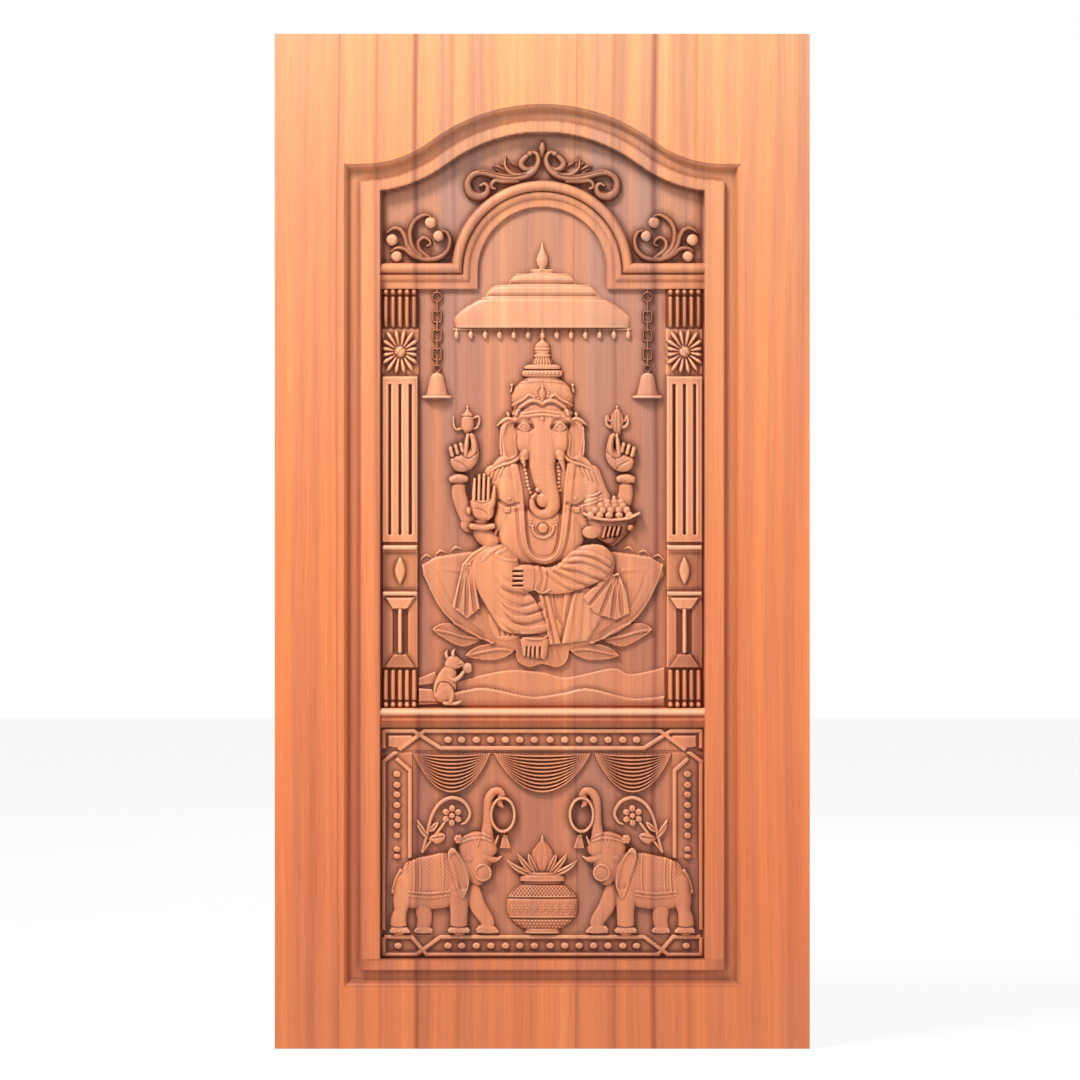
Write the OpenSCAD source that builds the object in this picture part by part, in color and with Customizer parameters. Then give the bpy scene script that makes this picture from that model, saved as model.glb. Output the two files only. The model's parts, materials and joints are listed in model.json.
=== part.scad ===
// Carved door leaf: framed stiles and rails round a sunk panel, with mouldings and carvings planted on it.
// Stands on its bottom edge, carved face to -Y, origin at the middle of the bottom edge. Millimetres.

/* [Leaf] */
// Width of the leaf
leaf_w = 1070; // [1040:5:1110]
// Height of the leaf
leaf_h = 2030; // [1980:5:2090]
// Thickness of the stiles and rails
leaf_t = 50; // [48:1:56]

/* [Frame] */
// Face width of each stile
stile_w = 138; // [128:1:145]
// Height of the bottom rail
bottom_rail_h = 124; // [110:1:140]
// Height of the top rail over the crown of its arch
crown_rail_h = 140; // [125:1:150]
// Rise of the arched opening from its shoulders to its crown
arch_rise = 120; // [105:1:130]
// Share of the arch's two radii that its crown takes
crown_share = 0.625; // [0.58:0.005:0.68]
// Level length of each shoulder beside its stile
shoulder_flat = 38; // [36:1:45]
// Length of the tenons on the rails
tenon_l = 60; // [40:1:80]
// Thickness of the tenons
tenon_t = 16; // [12:1:18]
// Wood left above and below each tenon
tenon_haunch = 28; // [20:1:35]

/* [Panel] */
// Depth of the carved ground below the front face
ground_depth = 24; // [22:0.5:26]
// Depth of the panel below the back face
back_depth = 8; // [5:0.5:9]
// Depth of the groove that holds the panel
groove_l = 12; // [8:1:14]
// Thickness of the tongue round the panel
tongue_t = 9; // [6:0.5:10]
// Room for the panel to move in its groove
panel_clear = 1.5; // [0.5:0.25:2]

/* [Mouldings] */
// Width of the sunk moulding beside the frame
channel_w = 33; // [28:0.5:35]
// Height of the sunk moulding's floor over the ground
channel_floor = 9; // [7:0.5:11]
// Width of the slope from the frame down to that floor
slope_w = 13; // [10:0.5:16]
// Quirk between the front face and the slope
quirk = 2; // [1:0.5:3]
// Width of the flat band along the sides
band_side_w = 39; // [34:0.5:42]
// Width of the flat band at top and bottom
band_end_w = 22; // [18:0.5:26]
// Height of the flat band over the ground
band_h = 20; // [17:0.5:21]

/* [Niche] */
// Height of the scene at the foot of the panel
plinth_h = 463; // [445:1:480]
// Height of the base cornice
cornice_h = 39; // [34:0.5:44]
// Relief of the base cornice
cornice_relief = 18; // [15:0.5:20]
// From the crown of the panel down to the underside of the arch shoulders
arch_drop = 314; // [300:1:330]
// Inner radius of the niche arch
niche_r = 130; // [124:0.5:134]
// Width of the arch moulding
arch_w = 52; // [48:0.5:54]
// Relief of the arch moulding
arch_relief = 16; // [13:0.5:18]
// Height of the arch centre over the underside of its shoulders
arch_stilt = 35; // [30:0.5:40]

/* [Pilasters] */
// Width of each pilaster
pilaster_w = 72; // [66:0.5:76]
// Gap between pilaster and band
pilaster_gap = 4; // [3:0.5:8]
// Thickness of a pilaster's plate
plate_t = 6; // [5.7:0.1:8]
// Thickness of its fluted shaft
shaft_t = 10; // [8.5:0.5:13]
// Height of each row of reeds
reed_h = 80; // [70:1:86]
// Height of the flower block
flower_h = 92; // [86:1:98]
// Height of the boss block
boss_h = 82; // [74:1:90]
// Height of each cross band
fillet_h = 10; // [8:0.5:12]
// Height of each tapered foot
taper_h = 28; // [22:1:32]
// Height of the narrow neck
neck_h = 88; // [76:1:96]
// Width of the narrow neck
neck_w = 24; // [20:0.5:28]
// Width of a flute
flute_w = 6.5; // [5:0.5:9]

/* [Bells] */
// Rim radius of each bell
bell_r = 31; // [27:0.5:32]
// Height of each bell
bell_h = 54; // [48:1:58]
// Length of each chain
chain_l = 150; // [140:1:156]
// Radius of the ring under each chain
ring_r = 8; // [7:0.5:9]
// Gap between a bell's rim and the pilaster
bell_gap = 7; // [5:0.5:9]

/* [Relief] */
// Greatest relief of the seated figure
figure_relief = 22; // [17:0.5:23.5]
// Relief of the lotus
lotus_relief = 8; // [6:0.5:9]
// Greatest relief of the parasol
parasol_relief = 14; // [10:0.5:18]
// Greatest relief of the elephants
elephant_relief = 17; // [13:0.5:20]
// Greatest relief of the pot
pot_relief = 16; // [12:0.5:20]
// Greatest relief of the scrolls
scroll_relief = 11; // [8:0.5:14]
// Relief of the straps
strap_relief = 5; // [4:0.5:7]
// Width of a strap
strap_w = 9; // [8:0.5:10]
// Gap between the two straps of the strips across
strap_gap = 28; // [24:0.5:32]
// Gap between the two straps of the strips down the sides
side_strap_gap = 45; // [40:0.5:50]
// Thickness of the slip under the straps
slip_t = 1.5; // [1:0.5:2.5]
// Radius of the beads between the straps
bead_r = 6.5; // [5:0.5:8]
// Relief of the curtain folds
curtain_relief = 8; // [6:0.5:10]
// Gap kept between neighbouring carvings
carving_gap = 2; // [1:0.5:3]

/* [Hidden] */
teak = "#c98a5a";
teak_pale = "#e0a878";
teak_deep = "#b5744a";
// Steps along each arc of the arched opening
arc_n = 8;
// Fineness of round carving and of true rounds
knob_fn = 6;
round_fn = 64;
// Width and height that each of the two scenes was drawn for, and the ground line of the lower one
niche_design = [498, 840];
plinth_design = [520, 363];
plinth_ground = 50;

face_y = -leaf_t / 2;
ground_y = face_y + ground_depth;
panel_back_y = leaf_t / 2 - back_depth;
tongue_y = (ground_y + panel_back_y - tongue_t) / 2;
open_half = leaf_w / 2 - stile_w;
crown_z = leaf_h - crown_rail_h;
shoulder_z = crown_z - arch_rise;
arc_x = open_half - shoulder_flat;
arc_turn = 2 * atan(arch_rise / arc_x);
both_r = arc_x / sin(arc_turn);
crown_r = crown_share * both_r;
shoulder_r = both_r - crown_r;
side_in = channel_w + band_side_w;
end_in = channel_w + band_end_w;
panel_half = open_half - side_in;
panel_z = bottom_rail_h + end_in;
cornice_z = panel_z + plinth_h;
niche_z = cornice_z + cornice_h;
niche_top = crown_z - end_in - arch_drop;
niche_h = niche_top - niche_z;
pilaster_x = panel_half - pilaster_gap - pilaster_w / 2;
niche_half = pilaster_x - pilaster_w / 2;
arch_r = niche_r + arch_w;
spring_z = niche_top + arch_stilt;
bell_x = niche_half - bell_gap - bell_r;
niche_fit = [2 * niche_half / niche_design.x, niche_h / niche_design.y, 1];
strip_h = 2 * strap_w + strap_gap;
side_strip_w = 2 * strap_w + side_strap_gap;
scene_z = panel_z + 2 * carving_gap + strip_h;
scene_h = plinth_h - 4 * carving_gap - 2 * strip_h;
scene_half = panel_half - carving_gap - side_strip_w;
plinth_fit = [2 * scene_half / plinth_design.x, scene_h / plinth_design.y, 1];

// Arched top edge of the opening, moved inwards by d, from x = half to x = -half
function ogee(d, half) = concat([[half, shoulder_z - d]],
    [for (i = [0:arc_n]) shoulder_point(d, arc_turn * i / arc_n)],
    [for (i = [1:2 * arc_n - 1]) crown_point(d, arc_turn * (1 - i / arc_n))],
    [for (i = [arc_n:-1:0]) flip(shoulder_point(d, arc_turn * i / arc_n))],
    [[-half, shoulder_z - d]]);
function shoulder_point(d, t) =
    [arc_x - (shoulder_r + d) * sin(t), shoulder_z + shoulder_r - (shoulder_r + d) * cos(t)];
function crown_point(d, t) = [(crown_r - d) * sin(t), crown_z - crown_r + (crown_r - d) * cos(t)];
function flip(p) = [-p.x, p.y];
function backwards(list) = [for (i = [len(list) - 1:-1:0]) list[i]];
function opening(side, end) = let (half = open_half - side)
    concat([[-half, bottom_rail_h + end], [half, bottom_rail_h + end]], ogee(end, half));
// Section of the sunk moulding: distance from the frame, height over the ground
function channel_profile() = let (top = ground_depth - quirk, drop = top - channel_floor)
    concat([[0, 0], [0, top]],
        [for (i = [0:3]) [quirk + (slope_w - quirk) * i / 3, channel_floor + drop * (1 + cos(60 * i)) / 2]],
        [[channel_w, channel_floor], [channel_w, 0]]);

// Stands a relief drawn with x right, y up and z out of the ground on the panel
module planted() {
    translate([0, ground_y, 0])
        rotate([90, 0, 0])
            children();
}

module in_niche() {
    planted()
        translate([0, niche_z, 0])
            scale(niche_fit)
                children();
}

module in_plinth() {
    planted()
        translate([0, scene_z, 0])
            scale(plinth_fit)
                translate([0, -plinth_ground, 0])
                    children();
}

module plate(y0, y1, outline) {
    translate([0, y1, 0])
        rotate([90, 0, 0])
            linear_extrude(y1 - y0)
                polygon(outline);
}

// Rounded knob on the ground: place and radii, height, turn
module knob(x, y, rx, ry, h, turn = 0, fn = knob_fn) {
    translate([x, y, 0])
        rotate(turn)
            scale([rx, ry, h])
                rotate_extrude($fn = fn)
                    polygon(fn < 10 ? [[0, 0], [1, 0], [0.78, 0.63], [0, 1]]
                        : [[0, 0], [1, 0], [0.84, 0.54], [0.45, 0.89], [0, 1]]);
}

// Rounded limb through [x, y, radius, height]
module limb(path, fn = knob_fn) {
    for (i = [0:len(path) - 2])
        hull() {
            knob(path[i][0], path[i][1], path[i][2], path[i][2], path[i][3], 0, fn);
            knob(path[i + 1][0], path[i + 1][1], path[i + 1][2], path[i + 1][2], path[i + 1][3], 0, fn);
        }
}

// Half-round turned form in relief: profile of [y, radius], relief as a share of the radius over a base
module turned(x, profile, base, share, n = 10) {
    rows = [for (p = profile) for (j = [0:n]) let (t = 180 * j / n)
        [x + p[1] * cos(t), p[0], (base + share * p[1]) * sin(t)]];
    half_round(rows, len(profile) - 1, n);
}

// Half-round rib swept along [x, y, radius, height]
module rib(path, n = 3) {
    last = len(path) - 1;
    points = [for (i = [0:last])
        let (p = path[i], a = path[max(i - 1, 0)], b = path[min(i + 1, last)],
            d = [b[0] - a[0], b[1] - a[1]], t = d / norm(d))
        for (j = [0:n]) let (c = p[2] * cos(180 * j / n))
            [p[0] + t.y * c, p[1] - t.x * c, p[3] * sin(180 * j / n)]];
    half_round(points, last, n);
}

// Solid over rows of n + 1 points that begin and end on the ground
module half_round(points, last, n) {
    m = n + 1;
    sides = [for (i = [0:last - 1]) for (j = [0:n - 1]) let (a = i * m + j)
        each [[a, a + 1, a + m + 1], [a, a + m + 1, a + m]]];
    backs = [for (i = [0:last - 1]) let (a = i * m)
        each [[a, a + m, a + m + n], [a, a + m + n, a + n]]];
    caps = [[for (j = [n:-1:0]) j], [for (j = [0:n]) last * m + j]];
    polyhedron(points, concat(sides, backs, caps));
}

// Points of a volute: from radius r0 at angle a0 to r1 at a1, with limb radius w0 to w1 and height h
function volute(c, r0, r1, a0, a1, w0, w1, h, n) = [for (i = [0:n])
    let (s = i / n, r = r0 + (r1 - r0) * s, t = a0 + (a1 - a0) * s)
    [c.x + r * cos(t), c.y + r * sin(t), w0 + (w1 - w0) * s, h]];

module mirrored(side) {
    if (side > 0)
        mirror([1, 0, 0])
            children();
    else
        children();
}

module stile(side) {
    color(teak)
        difference() {
            translate([side < 0 ? -leaf_w / 2 : open_half, face_y, 0])
                cube([stile_w, leaf_t, leaf_h]);
            panel_groove();
            rail_tenons(panel_clear);
        }
}

module panel_groove() {
    plate(tongue_y, tongue_y + tongue_t, opening(-groove_l, -groove_l));
}

// Tenons of both rails, longer by the room left at the bottom of their mortises
module rail_tenons(room) {
    reach = 2 * (open_half + tenon_l + room);
    translate([-reach / 2, -tenon_t / 2, tenon_haunch])
        cube([reach, tenon_t, bottom_rail_h - 2 * tenon_haunch]);
    translate([-reach / 2, -tenon_t / 2, shoulder_z + tenon_haunch])
        cube([reach, tenon_t, leaf_h - shoulder_z - 2 * tenon_haunch]);
}

module top_rail() {
    color(teak_pale)
        difference() {
            union() {
                plate(face_y, -face_y, concat(ogee(0, open_half), [[-open_half, leaf_h],
                    [open_half, leaf_h]]));
                intersection() {
                    rail_tenons(0);
                    translate([-leaf_w, -leaf_t, shoulder_z + tenon_haunch])
                        cube([2 * leaf_w, 2 * leaf_t, leaf_h]);
                    sides_of_opening();
                }
            }
            panel_groove();
        }
}

module bottom_rail() {
    color(teak_pale)
        difference() {
            union() {
                translate([-open_half, face_y, 0])
                    cube([2 * open_half, leaf_t, bottom_rail_h]);
                intersection() {
                    rail_tenons(0);
                    translate([-leaf_w, -leaf_t, 0])
                        cube([2 * leaf_w, 2 * leaf_t, bottom_rail_h]);
                    sides_of_opening();
                }
            }
            panel_groove();
        }
}

// Room of the two stiles, a little lapped under the rails so that tenon and rail are one
module sides_of_opening() {
    for (side = [-1, 1])
        translate([side * (open_half + leaf_w / 2 - groove_l) - leaf_w / 2, -leaf_t, -leaf_h])
            cube([leaf_w, 2 * leaf_t, 3 * leaf_h]);
}

module ground_panel() {
    tongue = groove_l - panel_clear;
    color(teak_deep)
        union() {
            plate(ground_y, panel_back_y, opening(panel_clear, panel_clear));
            plate(tongue_y, tongue_y + tongue_t, opening(-tongue, -tongue));
        }
}

module side_channel(side) {
    color(teak_pale)
        planted()
            mirrored(side)
                intersection() {
                    translate([-open_half, leaf_h, 0])
                        rotate([90, 0, 0])
                            linear_extrude(leaf_h)
                                polygon(channel_profile());
                    linear_extrude(ground_depth)
                        polygon([[-open_half, bottom_rail_h],
                            [channel_w - open_half, bottom_rail_h + channel_w],
                            [channel_w - open_half, shoulder_z - channel_w], [-open_half, shoulder_z]]);
                }
}

module bottom_channel() {
    color(teak_pale)
        planted()
            intersection() {
                translate([-open_half, bottom_rail_h, 0])
                    rotate([90, 0, 90])
                        linear_extrude(2 * open_half)
                            polygon(channel_profile());
                linear_extrude(ground_depth)
                    polygon([[-open_half, bottom_rail_h], [open_half, bottom_rail_h],
                        [open_half - channel_w, bottom_rail_h + channel_w],
                        [channel_w - open_half, bottom_rail_h + channel_w]]);
            }
}

module arch_channel() {
    section = channel_profile();
    m = len(section);
    lines = [for (p = section) ogee(p.x, open_half - p.x)];
    last = len(lines[0]) - 1;
    points = [for (i = [0:last]) for (j = [0:m - 1]) [lines[j][i].x, lines[j][i].y, section[j].y]];
    skin = [for (i = [0:last - 1]) for (j = [0:m - 1])
        let (a = i * m + j, b = i * m + (j + 1) % m)
        each [[a, b, b + m], [a, b + m, a + m]]];
    ends = [for (k = [1:m - 2]) each [[0, k + 1, k], [last * m, last * m + k, last * m + k + 1]]];
    color(teak_pale)
        planted()
            polyhedron(points, concat(skin, ends));
}

module side_band(side) {
    color(teak)
        planted()
            mirrored(side)
                linear_extrude(band_h)
                    intersection() {
                        polygon(opening(channel_w, end_in));
                        translate([channel_w - open_half, panel_z])
                            square([band_side_w, leaf_h]);
                    }
}

module bottom_band() {
    color(teak)
        planted()
            translate([channel_w - open_half, bottom_rail_h + channel_w, 0])
                cube([2 * (open_half - channel_w), band_end_w, band_h]);
}

module arch_band() {
    half = open_half - channel_w;
    color(teak)
        planted()
            linear_extrude(band_h)
                polygon(concat(ogee(channel_w, half), backwards(ogee(end_in, half))));
}

// Section of the arch moulding: an outer roll, a step and an inner fillet
function arch_profile() = let (roll = arch_w * 0.21, low = arch_relief - roll, step = arch_w * 0.46)
    concat([[0, 0]],
        [for (i = [0:8]) [roll - roll * cos(22.5 * i), low + roll * sin(22.5 * i)]],
        [[step, low], [step, arch_relief * 0.75]],
        [for (i = [1:4]) [step + arch_w * 0.24 * sin(22.5 * i), arch_relief * (0.4 + 0.35 * cos(22.5 * i))]],
        [[arch_w, arch_relief * 0.4], [arch_w, 0]]);

module niche_arch() {
    far = leaf_h;
    color(teak_pale)
        planted() {
            intersection() {
                union() {
                    translate([0, spring_z, 0])
                        rotate_extrude(angle = 180, $fn = round_fn)
                            polygon([for (p = arch_profile()) [arch_r - p.x, p.y]]);
                    for (side = [-1, 1])
                        mirrored(side)
                            translate([-arch_r, spring_z, 0])
                                rotate([90, 0, 0])
                                    linear_extrude(arch_stilt)
                                        polygon(arch_profile());
                }
                linear_extrude(ground_depth)
                    polygon([[-niche_r, niche_top], [niche_r, niche_top],
                        [niche_r + far, niche_top + far], [-niche_r - far, niche_top + far]]);
            }
            for (side = [-1, 1])
                mirrored(side)
                    intersection() {
                        translate([-panel_half, niche_top + arch_w, 0])
                            rotate([0, 0, -90])
                                rotate([90, 0, 0])
                                    mirror([0, 0, 1])
                                        linear_extrude(panel_half)
                                            polygon(arch_profile());
                        linear_extrude(ground_depth)
                            polygon([[-panel_half, niche_top], [-niche_r, niche_top],
                                [-niche_r - arch_w, niche_top + arch_w],
                                    [-panel_half, niche_top + arch_w]]);
                    }
        }
}

module base_cornice() {
    r = cornice_h * 0.2;
    color(teak_pale)
        planted()
            translate([-panel_half, cornice_z, 0])
                rotate([90, 0, 90])
                    linear_extrude(2 * panel_half)
                        polygon(concat([[0, 0], [0, cornice_relief * 0.35]],
                            [for (i = [0:4]) [cornice_h * (0.08 + 0.27 * sin(22.5 * i)),
                                cornice_relief * (0.8 - 0.45 * cos(22.5 * i))]],
                            [[cornice_h * 0.5, cornice_relief * 0.8],
                                [cornice_h * 0.5, cornice_relief * 0.62],
                                [cornice_h - 2 * r, cornice_relief * 0.62]],
                            [for (i = [0:8]) [cornice_h - r - r * cos(22.5 * i),
                                cornice_relief - r + r * sin(22.5 * i)]],
                            [[cornice_h, 0]]));
}

module reeds(z0, ball_up) {
    ball_r = plate_t - 0.2;
    r = min(pilaster_w * 0.075, ball_r - 0.2);
    pitch = pilaster_w * 0.195;
    inset = ball_r + 0.5;
    for (i = [-2:2])
        translate([i * pitch, 0, plate_t]) {
            translate([0, z0 + reed_h - inset, 0])
                rotate([90, 0, 0])
                    cylinder(h = reed_h - 2 * inset, r = r, $fn = round_fn);
            translate([0, ball_up ? z0 + reed_h - inset : z0 + inset, 0])
                sphere(r = ball_r, $fn = round_fn);
        }
}

module taper(z0, w0, w1) {
    linear_extrude(shaft_t)
        polygon([[-w0 / 2, z0], [w0 / 2, z0], [w1 / 2, z0 + taper_h], [-w1 / 2, z0 + taper_h]]);
}

module cross_band(z0, t) {
    translate([-pilaster_w / 2, z0, 0])
        cube([pilaster_w, fillet_h, t]);
}

module pilaster(side) {
    neck_z = reed_h + taper_h;
    band_z = neck_z + neck_h + taper_h;
    boss_z = band_z + fillet_h;
    shaft_z = boss_z + boss_h + fillet_h;
    flower_z = niche_h - reed_h - flower_h;
    shaft_h = flower_z - shaft_z;
    wide = pilaster_w * 0.86;
    color(teak)
        planted()
            translate([side * pilaster_x, niche_z, 0]) {
                difference() {
                    union() {
                        translate([-pilaster_w / 2, 0, 0])
                            cube([pilaster_w, niche_h, plate_t]);
                        translate([-pilaster_w / 2, shaft_z, 0])
                            cube([pilaster_w, shaft_h, shaft_t]);
                    }
                    for (i = [-1:1])
                        translate([i * pilaster_w * 0.285, shaft_z, plate_t])
                            flute(shaft_h);
                }
                reeds(0, false);
                taper(reed_h, wide, neck_w * 1.2);
                translate([-neck_w / 2, neck_z, 0])
                    cube([neck_w, neck_h, shaft_t]);
                translate([0, neck_z + neck_h, shaft_t - neck_w * 0.1])
                    rotate([90, 0, 0])
                        cylinder(h = neck_h, r = neck_w * 0.2, $fn = round_fn);
                taper(neck_z + neck_h, neck_w * 1.2, wide);
                cross_band(band_z, shaft_t + 2);
                oval_boss(boss_z + boss_h / 2);
                cross_band(boss_z + boss_h, shaft_t + 2);
                flower(flower_z + flower_h / 2);
                reeds(flower_z + flower_h, true);
            }
}

module flute(shaft_h) {
    margin = 16;
    for (end = [margin, shaft_h - margin])
        translate([0, end, 0])
            cylinder(h = shaft_t, d = flute_w, $fn = round_fn);
    translate([-flute_w / 2, margin, 0])
        cube([flute_w, shaft_h - 2 * margin, shaft_t]);
}

// Pointed oval where two rounds cross
module oval_boss(z) {
    half_w = boss_h * 0.14;
    half_l = boss_h * 0.33;
    r = (half_l * half_l + half_w * half_w) / (2 * half_w);
    translate([0, z, 0])
        linear_extrude(shaft_t)
            intersection() {
                translate([half_w - r, 0])
                    circle(r = r, $fn = round_fn);
                translate([r - half_w, 0])
                    circle(r = r, $fn = round_fn);
            }
}

module flower(z) {
    petals = 16;
    r = min(pilaster_w, flower_h) * 0.48;
    translate([0, z, 0]) {
        linear_extrude(plate_t + 3)
            polygon([for (i = [0:8 * petals - 1]) let (t = 360 * i / (8 * petals))
                r * (0.72 + 0.28 * abs(cos(t * petals / 2))) * [cos(t), sin(t)]]);
        translate([0, 0, plate_t + 1])
            sphere(r = r * 0.2, $fn = round_fn);
    }
}

// Carved chain: open links joined by links seen from the side
module chain(side) {
    links = 4;
    pitch = chain_l / links;
    link_w = 24;
    bar = 5;
    color(teak)
        planted()
            translate([side * bell_x, niche_top - chain_l, 0])
                linear_extrude(strap_relief + 1) {
                    translate([0, -ring_r])
                        difference() {
                            circle(r = ring_r, $fn = round_fn);
                            circle(r = ring_r - bar * 0.7, $fn = round_fn);
                        }
                    for (i = [0:links - 1])
                        translate([0, (i + 0.5) * pitch]) {
                            difference() {
                                circle(d = link_w, $fn = round_fn);
                                circle(d = link_w - 2 * bar, $fn = round_fn);
                            }
                            for (end = [-1, 1])
                                let (more = i == 0 ? bar * 0.5 : 0)
                                    translate([-bar / 2, end > 0 ? link_w / 2 - bar : -pitch / 2 - more])
                                        square([bar, pitch / 2 - link_w / 2 + bar + more]);
                        }
                }
}

module bell(side) {
    rim = niche_top - chain_l - 2 * ring_r - bell_h;
    color(teak_pale)
        planted()
            translate([side * bell_x, rim, 0])
                turned(0, [[0, bell_r * 0.94], [bell_h * 0.05, bell_r], [bell_h * 0.1, bell_r * 0.97],
                    [bell_h * 0.14, bell_r * 0.84], [bell_h * 0.4, bell_r * 0.64],
                    [bell_h * 0.7, bell_r * 0.52], [bell_h * 0.88, bell_r * 0.42],
                    [bell_h * 0.97, bell_r * 0.24], [bell_h, bell_r * 0.1]], 4, 0.34);
}

// Tiered parasol over the figure, with drops along its rim
module parasol() {
    rim_z = 760;
    drops = 13;
    rim_r = 178;
    color(teak_pale)
        in_niche() {
            turned(0, [[rim_z, rim_r], [rim_z + 6, rim_r], [rim_z + 9, rim_r - 6], [rim_z + 32, rim_r - 16],
                [rim_z + 50, rim_r - 36], [rim_z + 62, rim_r - 62], [rim_z + 66, 118],
                [rim_z + 80, 106], [rim_z + 89, 84], [rim_z + 91, 68], [rim_z + 105, 52],
                [rim_z + 110, 24], [rim_z + 117, 20], [rim_z + 120, 8],
                [rim_z + 138, 13], [rim_z + 150, 9], [rim_z + 174, 1]],
                parasol_relief * 0.4, parasol_relief * 0.6 / rim_r, 8);
            for (i = [0:drops - 1])
                hull() {
                    knob((i / (drops - 1) - 0.5) * 2 * (rim_r - 6), rim_z - 11, 6, 9, 6, 0, 5);
                    knob((i / (drops - 1) - 0.5) * 2 * (rim_r - 6), rim_z, 2.5, 2.5, 4, 0, 4);
                }
        }
}

// Side of a symmetrical pair inside one carving
module both() {
    children();
    mirror([1, 0, 0])
        children();
}

module lotus() {
    h = lotus_relief;
    rim = [[-241, 288], [-226, 240], [-203, 201], [-168, 166], [-123, 139], [-50, 114],
        [50, 114], [123, 139], [168, 166], [203, 201], [226, 240], [241, 288], [147, 314], [-147, 314]];
    hull() {
        linear_extrude(h * 0.3)
            polygon(rim);
        linear_extrude(h * 0.7)
            polygon([for (p = rim) [p.x * 0.9, 230 + (p.y - 230) * 0.86]]);
    }
    both() {
        for (i = [0:4])
            rib([[-218 + 44 * i, 284 - 8 * i, 4, h * 0.8], [-210 + 42 * i, 254 - 12 * i, 14, h],
                [-194 + 39 * i, 212 - 18 * i, 14, h], [-174 + 35 * i, 182 - 14 * i, 4, h * 0.7]], 2);
        rib([[-240, 290, 5, 3], [-205, 303, 11, 4], [-170, 313, 11, 4]], 2);
        rib([[-221, 157, 2, 3], [-196, 152, 9, 6], [-165, 143, 13, 6], [-118, 136, 9, 6]], 2);
        rib([[-156, 107, 2, 3], [-132, 106, 9, 6], [-98, 108, 13, 6], [-52, 118, 9, 6]], 2);
        knob(-27, 104, 24, 20, 6);
    }
    knob(0, 100, 22, 18, 7);
}

module deity_head(h) {
    turned(0, [[590, 58], [608, 63], [630, 62], [648, 54], [660, 40], [668, 42], [676, 37],
        [686, 37], [690, 24], [702, 13], [706, 18], [712, 10], [726, 16], [738, 2]], h * 0.3, h * 0.006, 6);
    knob(0, 633, 13, 16, h * 0.92);
    knob(0, 556, 56, 54, h * 0.7, 0, 10);
    knob(0, 520, 45, 42, h * 0.75, 0, 10);
    both() {
        knob(-36, 565, 13, 9, h * 0.8);
        rib([[-54, 590, 3, h * 0.62], [-36, 584, 5, h * 0.78], [-16, 592, 3, h * 0.75]]);
        rib([[-76, 590, 8, h * 0.3], [-70, 566, 20, h * 0.45], [-68, 530, 24, h * 0.45],
            [-82, 498, 15, h * 0.4],
            [-110, 468, 4, h * 0.3]]);
    }
    rib([[0, 582, 12, h * 0.78], [0, 556, 18, h * 0.82], [0, 508, 29, h * 0.9], [2, 468, 26, h * 0.95],
        [12, 434, 21, h], [16, 412, 18, h], [8, 394, 14, h]]);
    limb([[10, 396, 14, h], [-8, 392, 10, h], [-19, 410, 8, h], [-13, 430, 6, h * 0.95]], 6);
    knob(2, 415, 15, 15, h * 0.96);
    limb([[-33, 500, 8, h * 0.8], [-37, 488, 6, h * 0.8]], 6);
    limb([[32, 500, 8, h * 0.8], [47, 470, 4, h * 0.75]], 6);
}

module deity_body(h) {
    hull() {
        knob(-88, 452, 28, 26, h * 0.5);
        knob(88, 452, 28, 26, h * 0.5);
        knob(0, 390, 86, 60, h * 0.55);
    }
    both()
        knob(-68, 436, 24, 22, h * 0.62);
    knob(-2, 345, 82, 60, h * 0.8, 0, 12);
    rib([[-54, 446, 9, h * 0.68], [-48, 380, 9, h * 0.84], [-38, 328, 9, h * 0.84], [-22, 304, 9, h * 0.76],
        [0, 296, 9, h * 0.72], [22, 304, 9, h * 0.76], [38, 328, 9, h * 0.84], [48, 380, 9, h * 0.84],
        [54, 446, 9, h * 0.68]]);
    knob(0, 360, 13, 13, h * 0.92);
}

module deity_arms(h) {
    both() {
        rib([[-92, 462, 26, h * 0.5], [-130, 396, 20, h * 0.46], [-146, 368, 16, h * 0.4]]);
        rib([[-134, 360, 13, h * 0.4], [-145, 386, 18, h * 0.45], [-165, 442, 15, h * 0.5],
            [-167, 474, 13, h * 0.5]]);
        rib([[-184, 459, 5, h * 0.66], [-152, 459, 5, h * 0.66]]);
        hull() {
            knob(-156, 500, 28, 30, h * 0.6);
            knob(-178, 518, 10, 12, h * 0.6);
        }
    }
    turned(-150, [[524, 8], [552, 8], [556, 10], [562, 14], [575, 16], [588, 13], [594, 6], [600, 7],
        [608, 2]], h * 0.2, h * 0.012, 6);
    turned(150, [[524, 6], [556, 7], [564, 15], [578, 17], [592, 12], [608, 2]], h * 0.2, h * 0.012, 6);
    limb([[-100, 330, 24, h * 0.72], [-120, 366, 19, h * 0.8], [-117, 401, 23, h * 0.86]]);
    limb([[-122, 405, 18, h * 0.84], [-126, 462, 12, h * 0.74]]);
    limb([[-106, 412, 8, h * 0.84], [-98, 436, 7, h * 0.74]], 6);
    rib([[-140, 362, 5, h * 0.86], [-102, 362, 5, h * 0.9]]);
    limb([[100, 440, 22, h * 0.55], [100, 380, 22, h * 0.62], [138, 340, 18, h * 0.72]]);
    turned(138, [[326, 10], [334, 22], [348, 33], [366, 46], [380, 53], [388, 54]], h * 0.3, h * 0.009, 6);
    for (i = [0:5])
        knob(138 + 15 * (i - 2.5), 394, 8, 9, h * 0.74, 0, 6);
    for (i = [0:3])
        knob(138 + 15 * (i - 1.5), 404, 8, 9, h * 0.66, 0, 6);
}

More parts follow.
